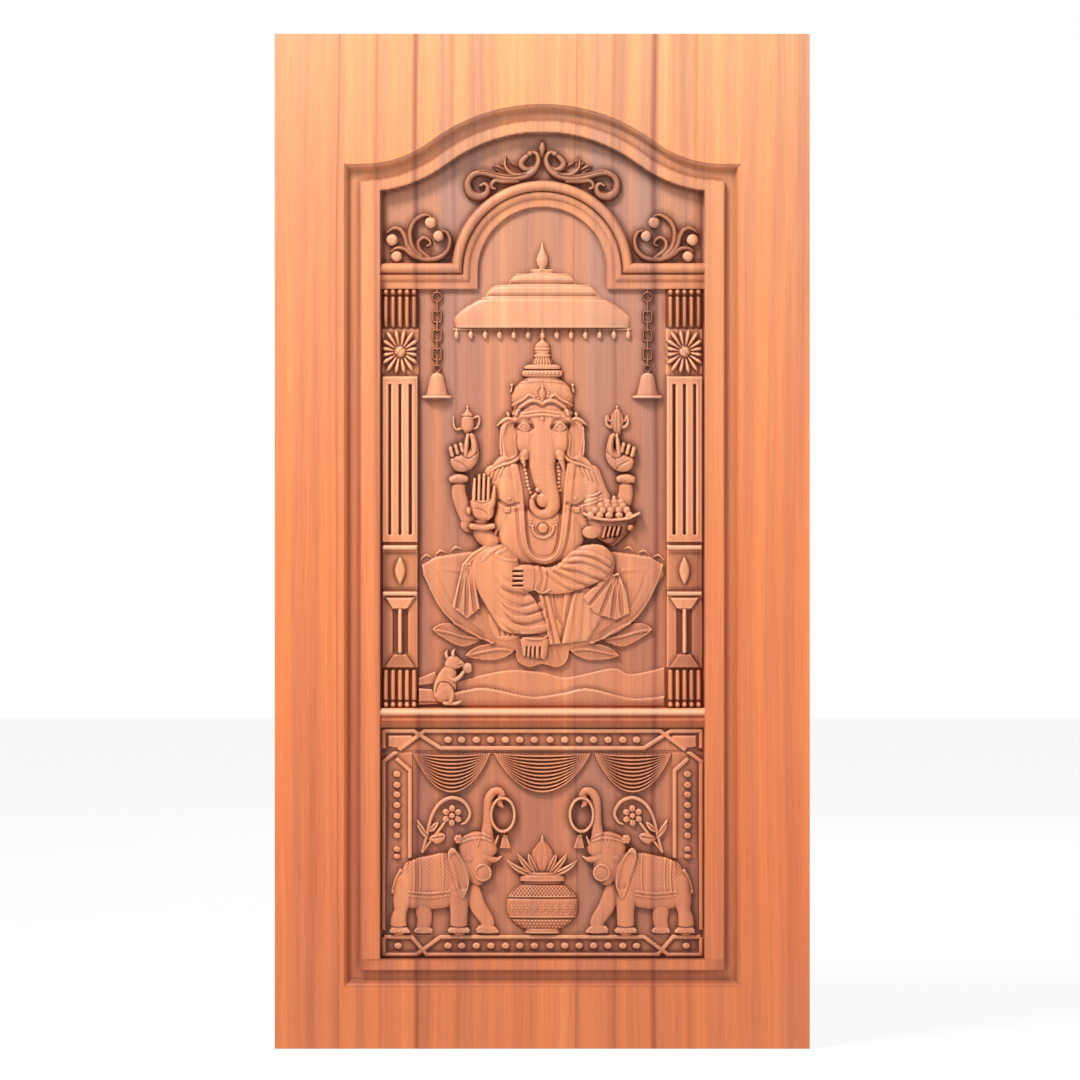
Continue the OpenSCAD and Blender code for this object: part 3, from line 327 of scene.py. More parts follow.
# Teak: straight orange-brown grain up the leaf, the same through every piece, under a satin oil finish
def teak(name, look):
    material = bpy.data.materials.new(name)
    material.use_nodes = True
    tree = material.node_tree
    shader = tree.nodes["Principled BSDF"]
    place = add(tree, "ShaderNodeTexCoord")["Object"]

    # slow wander of the grain lines, about 20 mm from side to side over a metre
    slow = add(tree, "ShaderNodeMapping", {"Vector": place, "Scale": grain["wander"]})[0]
    drift = add(tree, "ShaderNodeTexNoise", {"Vector": slow, "Scale": 1.0, "Detail": 1.0})["Fac"]
    parts = add(tree, "ShaderNodeSeparateXYZ", {"Vector": place})
    swing = add(tree, "ShaderNodeMath", {0: drift, 1: 0.5}, operation="SUBTRACT")[0]
    aside = add(tree, "ShaderNodeMath", {0: swing, 1: look["wander"]}, operation="MULTIPLY")[0]
    across = add(tree, "ShaderNodeMath", {0: parts["X"], 1: aside}, operation="ADD")[0]
    bent = add(tree, "ShaderNodeCombineXYZ", {"X": across, "Y": parts["Y"], "Z": parts["Z"]})[0]

    # year rings 8 to 40 mm wide, broad streaks of 40 to 80 mm, and fibres 1 to 2 mm wide with long pores
    noise = {}
    for key, detail, rough in (("rings", 3.0, 0.6), ("streaks", 1.0, 0.5), ("fibres", 2.0, 0.55)):
        scaled = add(tree, "ShaderNodeMapping", {"Vector": bent, "Scale": grain[key]})[0]
        noise[key] = add(tree, "ShaderNodeTexNoise", {"Vector": scaled, "Scale": 1.0, "Detail": detail,
                                                      "Roughness": rough})["Fac"]

    # how far each layer shows: from and to in what it reads, then the share at either end
    # attribute that carries painted shade below zero and painted highlight above zero
    shade_and_highlight = add(tree, "ShaderNodeAttribute", attribute_name="shade_and_highlight")["Fac"]
    shown = {}
    for key, source, low, high, start, end in (
            ("ash", noise["streaks"], 0.5, 0.66, 0, look["ash"]), ("height", parts["Z"], 0, cadBox[1][2], 0, 1),
            ("paintedShade", shade_and_highlight, -0.02, -0.42, 0, look["paintedShade"]), ("highlight", shade_and_highlight, 0.02, 0.4, 0, look["highlight"]),
            ("gloss", noise["fibres"], 0.3, 0.7, look["rough"] + 0.1, look["rough"] - 0.06)):
        shown[key] = add(tree, "ShaderNodeMapRange", {"Value": source, "From Min": low, "From Max": high,
                                                      "To Min": start, "To Max": end})[0]

    # colour of the rings, tone of the fibres, tint up the leaf, and dark heart lines at the joints of the boards
    shifted = add(tree, "ShaderNodeMath", {0: across, 1: grain["start"]}, operation="ADD")[0]
    boards = add(tree, "ShaderNodeMath", {0: shifted, 1: grain["board"]}, operation="DIVIDE")[0]
    part = add(tree, "ShaderNodeMath", {0: boards}, operation="FRACT")[0]
    tones = [(0.28, look["dark"]), (0.48, look["mid"]), (0.6, look["warm"]), (0.76, look["pale"])]
    # the tint by height leaves the wood darker and redder towards the foot
    base, thread, heightTint, hearts = [
        add(tree, "ShaderNodeValToRGB", {"Fac": source}, stops)["Color"]
        for source, stops in ((noise["rings"], tones), (noise["fibres"], grain["threads"]),
                              (shown["height"], look["rise"]), (part, grain["hearts"]))]
    heart = add(tree, "ShaderNodeMath", {0: hearts, 1: look["lines"]}, operation="MULTIPLY")[0]

    # layers over the rings: grey streaks, fibres, heart lines, a tint darker towards the foot, painted shade in the
    # cuts, and painted highlight on raised edges
    for share, colour, blend in (
            (shown["ash"], srgb(grain["ash"]), "MIX"), (look["fibre"], thread, "OVERLAY"),
            (heart, srgb(grain["heart"]), "MULTIPLY"), (1.0, heightTint, "MULTIPLY"),
            (shown["paintedShade"], srgb(look["shadeColour"]), "MULTIPLY"), (shown["highlight"], srgb(grain["paintedLight"]), "MIX")):
        base = add(tree, "ShaderNodeMix", {0: share, 6: base, 7: colour}, data_type="RGBA", blend_type=blend)[2]

    # satin gloss, a little rougher on the dark fibres, and a fine bump from them
    bump = add(tree, "ShaderNodeBump", {"Height": noise["fibres"], "Strength": 0.12, "Distance": 0.0006})[0]
    for key, source in (("Base Color", base), ("Roughness", shown["gloss"]), ("Normal", bump)):
        tree.links.new(source, shader.inputs[key])
    shader.inputs["Specular IOR Level"].default_value = 0.35
    return material


# tint up the leaf, by share of its height
rise = [(0.03, "#e3b8a2"), (0.18, "#efb8a0"), (0.49, "#fccbae"), (0.83, "#fde7de"), (1.0, "#ffffff")]
duller = [(0.03, "#dab9ab"), (0.18, "#e2bbab"), (0.4, "#ecc3ae"), (0.49, "#f6cbb2"), (0.83, "#fae7de"),
          (1.0, "#ffffff")]
softer = [(0.03, "#dcb8a6"), (0.2, "#e8bda8"), (0.49, "#f6cfb8"), (0.83, "#fde7de"), (1.0, "#ffffff")]
woods = {
    # each finish sets the colour and strength of the painted shade in its cuts, and the strength of the painted
    # highlight on its edges
    "frame_teak": teak("oiled teak boards", {
        "dark": "#d0926f", "mid": "#e6a376", "warm": "#f2ac74", "pale": "#f7bd8c", "wander": 0.04, "fibre": 0.4,
        "shadeColour": "#764c2c", "ash": 0.12, "lines": 0.8, "rise": rise, "paintedShade": 0.9, "highlight": 0.2, "rough": 0.5}),
    # the sunk ground is a darker, greyer copy of the teak: its grey streaks are its own, and part of its darkness is
    # painted shade on the sunk ground
    "panel_teak": teak("oiled teak ground", {
        "dark": "#b78a78", "mid": "#c99880", "warm": "#d8a07e", "pale": "#dfae92", "wander": 0.04, "fibre": 0.3,
        "shadeColour": "#764c2c", "ash": 0.6, "lines": 0.9, "rise": duller, "paintedShade": 0.95, "highlight": 0.1, "rough": 0.55}),
    "moulding_teak": teak("oiled teak mouldings", {
        "dark": "#c88f72", "mid": "#dca07a", "warm": "#e8a878", "pale": "#eeb88f", "wander": 0.04, "fibre": 0.4,
        "shadeColour": "#8a6650", "ash": 0.3, "lines": 0.7, "rise": rise, "paintedShade": 0.62, "highlight": 0.6, "rough": 0.48}),
    "carved_teak": teak("oiled teak carving", {
        "dark": "#d39f85", "mid": "#e6ae8c", "warm": "#efb58c", "pale": "#f6c5a2", "wander": 0.04, "fibre": 0.35,
        "shadeColour": "#764c2c", "ash": 0.25, "lines": 0.6, "rise": softer, "paintedShade": 0.95, "highlight": 0.4, "rough": 0.4}),
}
for entry in frame["record"]["subparts"]:
    node = frame["nodes"][entry["node"]]
    node.data.materials.clear()
    node.data.materials.append(woods[entry["material_slot"]])
print("wood ready")

nicheZ = 681.0  # mm, height of the niche floor
plinthZ = 179.0  # mm, foot of the lower scene

# Seated figure: flat cloth first, then limbs, body, arms and head, each worked over the last
figure = {"cell": 1.26, "foot": nicheZ, "cut": 0.6, "addedShade": 0.0, "bowlShade": 0.13,
    "heelShade": 0.05, "sweetShade": -0.07}
fig = canvas(-200, 84, 206, 744, figure["cell"])
# cloth behind the legs
shape(fig, [(-160, 290), (-143, 290), (-134, 250), (-124, 200), (-151, 178), (-182, 203), (-170, 250)],
    13, 5, 0.7, 1, (0.06, 0))
for a, b in (((-155, 284), (-170, 202)), ((-150, 282), (-152, 184)), ((-146, 284), (-135, 196))):
    groove(fig, [a, b], 4.5, 2.4, 1)
shape(fig, [(66, 246), (50, 180), (38, 128), (92, 134), (120, 180), (110, 240)], 10.4, 8, 0.6, 1, (-0.03, 0))
for a, b in (((74, 236), (58, 136)), ((88, 234), (80, 140)), ((100, 230), (100, 156))):
    groove(fig, [a, b], 5, 0.9, 1)
shape(fig, [(153, 272), (126, 262), (98, 240), (80, 222), (104, 189), (148, 176), (176, 190), (170, 232)], 13, 5,
    0.7, 1, (0.03, 0.02))
for a, b in (((140, 262), (96, 208)), ((146, 262), (118, 190)), ((150, 262), (140, 182)), ((153, 262), (160, 188))):
    groove(fig, [a, b], 4.5, 2.2, 1)
shape(fig, [(62, 246), (46, 180), (36, 128), (-14, 128), (-18, 200), (10, 240)], 9, 8, 0.5, 1)
shape(fig, [(-8, 230), (14, 228), (38, 128), (14, 126)], 11.4, 5, 0.6, 1)
groove(fig, [(3, 226), (24, 130)], 2.5, 1.6, 1)
for k in range(4):
    groove(fig, [(24 + 6 * k, 226 + 4 * k), (30 + 3 * k, 180 - 4 * k)], 3, 1.8)
shape(fig, [(-100, 146), (-80, 134), (-56, 136), (-42, 150), (-60, 190), (-110, 200)], 8, 7, 0.5, 3)
for k in range(4):
    groove(fig, [(-92 + 9 * k, 196), (-84 + 10 * k, 146)], 3, 1.6, 1)

# hanging leg in its wrapped cloth
shape(fig, [(-84, 328), (-112, 320), (-136, 300), (-143, 276), (-137, 248), (-118, 212), (-100, 184), (-80, 156),
    (-42, 148), (8, 153), (-1, 186), (-14, 216), (-40, 250), (-50, 300)], 14, 34, 0.72, 3)
swell(fig, -92, 258, 52, 80, 5.6, 24)
for path in ([(-90, 270), (-79, 252), (-60, 242), (-34, 237)], [(-88, 242), (-68, 221), (-41, 213), (-12, 221)],
        [(-85, 222), (-62, 202), (-35, 196), (-6, 205)], [(-80, 202), (-56, 183), (-29, 178), (0, 186)],
        [(-82, 178), (-56, 161), (-26, 154), (6, 160)]):
    welt(fig, path, 9, 2.2, 5, 0.15)
    groove(fig, [(p[0], p[1] - 9) for p in path], 4.5, 1.0, 5, 0.15)
for path in ([(-72, 320), (-92, 306), (-60, 296), (-38, 300)], [(-80, 326), (-104, 312), (-120, 296)]):
    welt(fig, path, 4, 1.3)

# folded leg across the seat
shape(fig, [(-18, 286), (20, 284), (62, 318), (92, 328), (122, 326), (142, 306), (145, 284), (136, 262), (106, 249),
    (60, 232), (14, 228), (-16, 236)], 15.5, 22, 0.62, 3)
swell(fig, 106, 290, 46, 44, 4)
for path in ([(52, 308), (82, 312), (112, 304), (134, 290)], [(44, 296), (78, 298), (108, 288), (132, 276)],
        [(36, 286), (70, 280), (98, 270), (124, 262)], [(24, 280), (54, 266), (84, 254), (108, 252)],
        [(10, 276), (34, 256), (60, 242), (80, 242)]):
    welt(fig, path, 6.4, 1.7)
    groove(fig, [(p[0] + 1, p[1] - 7) for p in path], 4, 0.9)
# foot of the folded leg, toes to the left
shape(fig, [(-50, 286), (-14, 286), (-4, 272), (-6, 246), (-18, 234), (-44, 234), (-54, 250),
    (-54, 272)], 17, 12, 0.6, 3)
for k in range(5):
    stroke(fig, [(-40, 279 - 9.6 * k, 5, 17.6), (-53, 279 - 9.6 * k, 4.6, 16.6)], 0.6, 1)
for k in range(4):
    groove(fig, [(-58, 274 - 9.6 * k), (-40, 274 - 9.6 * k)], 2.2, 4.5, 1)
beads(fig, [(-20, 280), (-18, 260), (-21, 240)], 2.6, 1.6, 9)
welt(fig, [(-10, 284), (-6, 260), (-12, 238)], 4, 1.6)
welt(fig, [(2, 284), (6, 260), (0, 236)], 4, 1.6)
beads(fig, [(-14, 236), (0, 230), (14, 236)], 3, 2, 8)

# foot of the hanging leg
shape(fig, [(-40, 142), (10, 142), (12, 120), (8, 102), (-2, 98), (-36, 108), (-42, 122)], 12, 10, 0.55, 3)
for k, x in enumerate((-36, -28, -19.5, -11, 2)):
    stroke(fig, [(x + 1, 122, 4.4, 12), (x, 108 - 1.4 * k, 4.2 + 0.4 * k, 10.5)], 0.6, 1)
for k, x in enumerate((-32, -23.8, -15.2, -5.5)):
    groove(fig, [(x + 1, 122), (x, 102 - 1.4 * k)], 1.8, 4, 1)
beads(fig, [(-41, 145), (-30, 140), (-14, 138), (2, 140), (11, 145)], 3, 2, 13)
welt(fig, [(-41, 150), (-14, 144), (11, 150)], 3, 1.4)

# sash that sweeps from the waist over the hip
for k in range(3):
    stroke(fig, [(-92 - 3 * k, 356 - 4 * k, 4.5, 11), (-104 - 6 * k, 326 - 2 * k, 5, 12.5),
        (-126 - 7 * k, 304 + k, 5, 12.5), (-148 - 5 * k, 280 + 2 * k, 5, 11)], 0.5)

# trunk of the body: shoulders, chest and belly
shape(fig, [(-106, 478), (-60, 496), (60, 496), (106, 478), (116, 440), (96, 400), (86, 350), (-90, 350), (-96, 400),
    (-114, 440)], 11.5, 26, 0.4, 3)
dome(fig, -68, 436, 27, 32, 8, 13.8, 8)
dome(fig, 68, 436, 27, 32, 8, 13.8, -8)
boss(fig, -66, 419, 4, 4, 1.4)
boss(fig, 67, 419, 4, 4, 1.4)
groove(fig, [(-88, 416), (-68, 405), (-48, 410)], 4, 2)
groove(fig, [(88, 416), (68, 405), (50, 410)], 4, 2)
shape(fig, [(-60, 400), (60, 400), (80, 370), (84, 336), (66, 302), (20, 287), (-20, 287), (-64, 302), (-88, 336),
    (-84, 370)], 16, 40, 0.35, 3)
dome(fig, -2, 340, 78, 58, 6, 16.6)
swell(fig, -2, 344, 86, 58, 2.6)
for s in (-1, 1):
    bar(fig, s * 70 - 6, 391, s * 70 + 6, 403, 13.4)
# long sash that hangs in a loop
loop = [(-56, 482), (-47, 440), (-43, 400), (-40, 356), (-34, 322), (-20, 302), (4, 294), (26, 302), (38, 322),
    (45, 360), (49, 404), (52, 444), (58, 486)]
welt(fig, loop, 9.6, 2.6)
welt(fig, [(p[0] * 0.9, p[1] + 1) for p in loop], 2.2, 0.9)
groove(fig, [(p[0] * 1.18, p[1] - 9 * (1 - abs(p[0]) / 60)) for p in loop[2:-2]], 3.5, 1.4)
groove(fig, [(p[0] * 0.76, p[1] + 8 * (1 - abs(p[0]) / 60)) for p in loop[2:-2]], 3.5, 1.4)
stroke(fig, [(24, 342, 2.4, 17.6), (8, 318, 3, 17), (-14, 308, 2.4, 16.6)], 0.8)
# shoulder cloth and upper arms
for s in (-1, 1):
    stroke(fig, sided([(96, 466, 23, 11), (112, 430, 21, 10.6), (134, 392, 19, 10), (148, 368, 17, 9)], s))
    stroke(fig, sided([(136, 362, 15, 8.8), (150, 388, 19, 9.8), (166, 424, 16, 10.6), (167, 452, 14, 11)], s))
    for k in range(4):
        groove(fig, [(s * (74 + 9 * k), 484 - 2 * k), (s * (84 + 10 * k), 462 - 6 * k)], 2.4, 1.2, 1)
    # puffed bangle at the raised wrist
    stroke(fig, sided([(180, 458, 8, 13.4), (168, 460, 11, 14.6), (155, 459, 8, 13.4)], s))
    groove(fig, sided([(184, 469), (152, 469)], s), 2, 1.2, 1)
    groove(fig, sided([(184, 449), (152, 449)], s), 2, 1.2, 1)
    # raised hand: palm, three folded fingers, finger and thumb held together
    shape(fig, sided([(184, 500), (178, 478), (160, 472), (140, 480), (128, 498), (127, 520), (134, 546), (142, 546),
        (146, 520), (160, 512)], s), 13.8, 14, 0.5, 3)
    for k, (x, y) in enumerate(((-182, 514), (-172, 518.5), (-161.5, 522))):
        stroke(fig, [(-s * (x - 1.5), y + 6, 5, 14.2), (-s * (x + 2), y - 7, 5.4, 15)], 0.5, 1)
    stroke(fig, sided([(138, 504, 7.5, 14.6), (136, 526, 7, 14.6), (142, 546, 5, 12.5)], s), 0.55)
    stroke(fig, sided([(154, 504, 6, 15), (152, 528, 5.4, 15), (149, 546, 4, 13)], s), 0.55)
    groove(fig, sided([(160, 506), (146, 500), (130, 512)], s), 2, 1.5)
    groove(fig, sided([(176, 496), (158, 488), (146, 476)], s), 2, 1.1)
# small pot in one raised hand
turned(fig, -150, [(544, 6), (550, 7), (553, 9), (558, 13), (566, 15), (576, 15), (584, 12.5), (586, 13.5), (589, 12),
    (594, 7), (598, 4), (600, 3)], 4.4, 0.29)
ball(fig, -150, 603, 4, 5)
stroke(fig, [(-163, 560, 3.5, 5), (-172, 558, 3.4, 5), (-177, 566, 3.2, 5), (-178, 582, 2.4, 4.4)], 0.5)
stroke(fig, [(-137, 582, 2.8, 5.4), (-128, 584, 3, 5.4), (-126, 574, 3, 5.4), (-131, 562, 3, 5.4),
    (-138, 560, 2.6, 5)], 0.5)
groove(fig, [(-164, 584), (-136, 584)], 1.6, 1.2, 1)
# lotus bud in the other
turned(fig, 150, [(540, 3), (550, 10), (552, 9), (556, 11), (566, 14), (578, 15), (590, 12), (598, 6),
    (600, 3)], 4.4, 0.29)
ball(fig, 150, 603, 4, 5)
for k in (-1, 0, 1):
    groove(fig, [(150 + 9 * k, 556), (150 + 7 * k, 592)], 1.8, 1.0, 1)
for s in (-1, 1):
    stroke(fig, [(150 + s * 12, 562, 4, 5.4), (150 + s * 19, 566, 4, 5.4), (150 + s * 22, 576, 3.4, 5.2),
        (150 + s * 20, 586, 2.2, 4.6)], 0.5)
    stroke(fig, [(150 + s * 12, 574, 2.4, 5), (150 + s * 17, 577, 2.4, 5), (150 + s * 17, 583, 2, 4.6)], 0.5)

# lower hand held open in blessing
stroke(fig, [(-104, 334, 20, 14), (-120, 352, 20, 15.4), (-121, 368, 17, 16)])
stroke(fig, [(-141, 364, 6.5, 18.6), (-120, 361, 8, 19.4), (-100, 364, 6.5, 18.6)], 0.5)
groove(fig, [(-142, 372), (-120, 370), (-98, 372)], 2, 1.6)
shape(fig, [(-140, 420), (-142, 396), (-132, 378), (-116, 373), (-100, 382), (-96, 402), (-100, 420)], 18.4, 12, 0.55)
for k in range(4):
    x = -136.5 + 9.3 * k
    top = (458, 466, 467, 460)[k]
    stroke(fig, [(x, 416, 5, 17.6), (x + 0.6, 440, 4.8, 16.6), (x + 1.4, top, 3.6, 14.5)], 0.6)
for k in range(3):
    groove(fig, [(-131.8 + 9.3 * k, 416), (-131 + 9.3 * k, 458)], 1.5, 4, 1)
stroke(fig, [(-108, 398, 9, 18.8), (-100, 412, 7, 18.6), (-97, 430, 5.5, 17.4), (-96, 442, 4, 15.4)], 0.55)
dome(fig, -147, 395, 7, 9, 8, 15)
groove(fig, [(-138, 414), (-120, 410), (-106, 414)], 1.8, 1.3)
groove(fig, [(-134, 400), (-118, 396), (-108, 386)], 1.8, 1.2)

# hand under the bowl of sweets
stroke(fig, [(100, 440, 20, 12), (99, 400, 19, 13), (112, 360, 18, 14.4), (134, 344, 17, 15)])
for k in (0, 7):
    welt(fig, [(84, 413 - k), (100, 417 - k), (118, 425 - k)], 2.6, 1.1)
stroke(fig, [(94, 424, 2, 13.4), (108, 428, 3, 14), (117, 434, 2, 12.6)], 0.6)
bowl = [(324, 8), (332, 20), (342, 29), (352, 38), (364, 46), (374, 51), (380, 54)]
turned(fig, 138, bowl, 5.5, 0.21)
for k in range(4):
    stroke(fig, [(122 + 9 * k, 344 + 1.5 * k, 4.6, 19), (127 + 9 * k, 361, 4.2, 18)], 0.6, 1)
for k in range(4):
    groove(fig, [(126.5 + 9 * k, 340 + 1.5 * k), (131.5 + 9 * k, 362)], 1.6, 3.6, 1)
dome(fig, 176, 362, 8, 7, 8, 15, 40)
dome(fig, 98, 352, 18, 13, 12, 15)
for y, places, high in ((412, (130, 145, 158), 13.6), (405, (117, 131, 146, 161), 15),
        (396, (106, 121, 137, 153, 169), 16.4), (386, (97, 115, 134, 154, 174), 17.6)):
    for x in places:
        dome(fig, x, y, 8.3, 8.1, high - 5, high)
dome(fig, 144, 419, 5, 7, 7, 11.5)
stroke(fig, [(84, 389, 3.4, 16), (108, 380, 4, 18), (139, 376, 4.2, 18.8), (170, 380, 4, 18),
    (194, 390, 3.4, 16)], 0.7)

# ears
for s in (-1, 1):
    shape(fig, sided([(52, 572), (66, 581), (80, 573), (84, 556), (84, 530), (82, 508), (94, 496), (112, 468),
        (92, 481), (74, 490), (52, 498), (43, 512)], s), 9.6, 10, 0.6, 3)
    groove(fig, sided([(62, 562), (68, 540), (64, 512)], s), 11, 3)
    stroke(fig, sided([(54, 574, 3, 11.5), (66, 580, 4.4, 11.5), (78, 576, 4, 11), (90, 566, 2, 9)], s), 0.6)
    stroke(fig, sided([(43, 512, 3, 12), (48, 500, 4.2, 12.4), (62, 492, 4, 12), (80, 487, 3.6, 11.5),
        (98, 478, 3.2, 10.5), (116, 464, 2, 8.5)], s), 0.6)
    stroke(fig, sided([(82, 562, 2, 10), (84, 532, 2.2, 10.4), (82, 508, 2.4, 10.4)], s), 0.6)
    dome(fig, s * 68, 588, 4, 6, 6, 10.5, 20)

# face
shape(fig, [(-54, 600), (54, 600), (53, 566), (52, 534), (43, 514), (28, 496), (-28, 496), (-44, 516), (-52, 536),
    (-53, 566)], 15.4, 20, 0.45, 3)
dome(fig, 0, 556, 50, 56, 9, 16)
for s in (-1, 1):
    dome(fig, s * 35, 534, 17, 27, 9, 16.2)
    dome(fig, s * 35, 507, 11, 13, 10, 17)
    # eye in its hollow, with lid and iris
    dome(fig, s * 36, 580, 24, 12, 9, 16.2)
    groove(fig, sided([(52, 566), (47, 575), (36, 579), (25, 575), (20, 562)], s), 4.6, 1.7)
    groove(fig, sided([(48, 563), (36, 563), (24, 561)], s), 9, 1.6)
    boss(fig, s * 35.5, 563.5, 12.5, 8.6, 2.6)
    welt(fig, sided([(48, 563), (36, 571.5), (23, 561)], s), 1.9, 1.6)
    welt(fig, sided([(48, 562), (36, 555), (23, 560)], s), 1.6, 1.2)
    boss(fig, s * 35.5, 563.2, 4.6, 4.6, 1.3)
    groove(fig, sided([(35.5 + 0.1, 563), (35.5 - 0.1, 563)], s), 1.8, 1.4, 1)
# trunk, which swings to one side and curls up round a sweet
stroke(fig, [(0, 584, 15, 15.5), (0, 560, 20, 17), (0, 530, 31, 18.4), (0, 508, 30, 19.2), (0, 482, 26.5, 19.8),
    (6, 452, 24, 20.6), (16, 426, 19.5, 21), (19, 404, 17, 21), (10, 390, 14, 20.8), (-6, 389, 11.5, 20.4),
    (-17, 400, 9, 20), (-19.5, 415, 7.5, 19.4), (-13, 427, 6, 18.4)], 0.5)
for k in range(9):
    y = 500 - 10 * k
    groove(fig, [(-24 + 3 * max(k - 3, 0), y - 2), (2 + 2.2 * max(k - 3, 0), y - 6),
        (26 + 1.2 * max(k - 3, 0), y - 1)], 1.6, 0.2)
dome(fig, 3, 417, 16.4, 16.4, 14, 21.8)
dome(fig, -8, 437, 6, 6, 15, 20)
# tusks, one broken short
stroke(fig, [(-34, 512, 9, 17.6), (-38, 500, 7.6, 17.4), (-36, 490, 6, 16)], 0.6)
welt(fig, [(-44, 500), (-37, 497), (-30, 500)], 1.6, 1.2)
stroke(fig, [(33, 510, 9, 17.6), (38, 496, 7, 17), (42, 482, 4.6, 15.4), (45, 470, 2, 13)], 0.6)
welt(fig, [(30, 500), (37, 498), (44, 502)], 1.6, 1.2)
# marks on the brow
for k, y in enumerate((601.5, 594, 586.7)):
    welt(fig, [(-36 + k, y - 3), (0, y + 1), (36 - k, y - 3)], 2.9, 1.5)
boss(fig, 0.5, 579, 3.6, 4.4, 2)
boss(fig, 0.5, 573, 1.6, 2.6, 1)
# necklaces
beads(fig, [(-38, 492), (-32, 466), (-28, 444), (-20, 424)], 4.3, 3.2, 10)
beads(fig, [(31, 490), (34, 468), (33, 450), (36, 436)], 3.4, 2.6, 8)
boss(fig, 1.5, 360, 10.6, 10.6, 3)
groove(fig, [(1.5 + 11.5 * math.cos(t * 0.3), 360 + 11.5 * math.sin(t * 0.3)) for t in range(22)], 1.6, 1.2, 1)
for k in range(13):
    t = math.radians(176 + 15.3 * k)
    boss(fig, 1.5 + 21 * math.cos(t), 362 + 21 * math.sin(t), 3.4, 3.4, 2.8)
beads(fig, [(-22, 378), (-25, 366)], 2.4, 1.8, 3)
beads(fig, [(25, 378), (28, 366)], 2.4, 1.8, 3)

# crown: dome, arched rim with a jewel, two rings, a petalled cone and a knob
turned(fig, 0, [(592, 57), (604, 63), (626, 64), (642, 58), (654, 47), (661, 37), (664, 36)], 7, 0.13, 2.6)
rim = [(-52, 588), (-46, 600), (-36, 608), (-22, 615), (-9, 614), (0, 609), (9, 614), (22, 615), (36, 608),
    (46, 600), (52, 588)]
groove(fig, [(p[0] * 0.96, p[1] - 6) for p in rim], 4, 1.1)
welt(fig, rim, 4.4, 3)
welt(fig, [(-62, 606), (-50, 612), (-38, 618), (-27, 627), (-16, 622)], 3, 1.8)
welt(fig, [(62, 606), (50, 612), (38, 618), (27, 627), (16, 622)], 3, 1.8)
for s in (-1, 1):
    for k in range(5):
        boss(fig, s * (58 - 2 * k), 596 + 4.2 * k, 2.4, 2.4, 1.2)
        boss(fig, s * (48 - 6.4 * k), 625 + 2.6 * k, 1.9, 1.9, 0.9)
    stroke(fig, sided([(63, 634, 2.6, 7), (61, 642, 2.4, 7)], s), 0.5, 1)
    dome(fig, s * 61, 647, 4, 4, 4, 9)
stroke(fig, [(0, 618, 7, 17.8), (0, 629, 9.4, 19), (0, 640, 5, 17.6), (0, 648, 1.5, 16)], 0.5)
for k in range(11):
    t = math.radians(230 - 26 * k)
    boss(fig, 12.5 * math.cos(t), 631 + 13.5 * math.sin(t), 2.2, 2.2, 1.5)
beads(fig, [(-38, 653), (0, 656), (38, 653)], 2.6, 1.5, 15)
turned(fig, 0, [(664, 41), (667, 43), (674, 43), (677, 40)], 7.5, 0.14, 2.6)
beads(fig, [(-38, 670), (0, 671), (38, 670)], 3, 1.6, 11)
turned(fig, 0, [(678, 37), (681, 39), (685, 38), (688, 33)], 7.5, 0.13, 2.6)
turned(fig, 0, [(688, 25), (696, 21), (703, 17)], 7, 0.16, 2.4)
for k in range(-3, 4):
    groove(fig, [(6.4 * k, 688), (4.8 * k, 703)], 1.4, 1.4, 1)
turned(fig, 0, [(703, 17.5), (706, 18.5), (709, 17)], 7, 0.16, 2.4)
turned(fig, 0, [(709, 14), (714, 17), (722, 17.5), (730, 14), (735, 8), (738, 2)], 6.6, 0.16, 2.2)
for y in (716, 723):
    groove(fig, [(-18, y), (18, y)], 1.5, 1.1, 1)

held = np.zeros(fig["h"].shape)  # painted shade on the bowl, a little lighter on the sweets
spot, x, y = window(fig, 84, 324, 194, 374)
held[spot] = np.where(np.abs(x - 138) < np.interp(y, *np.array(bowl).T), figure["bowlShade"], 0)
spot, d = around(fig, 98, 352, 18, 13, 0)
held[spot] = np.where(d < 1, figure["heelShade"], held[spot])  # heel of the hand
held[window(fig, 90, 380, 186, 426)[0]] = figure["sweetShade"]
carve("seated_figure", ["seated_deity"], fig, figure, addedShade=held)

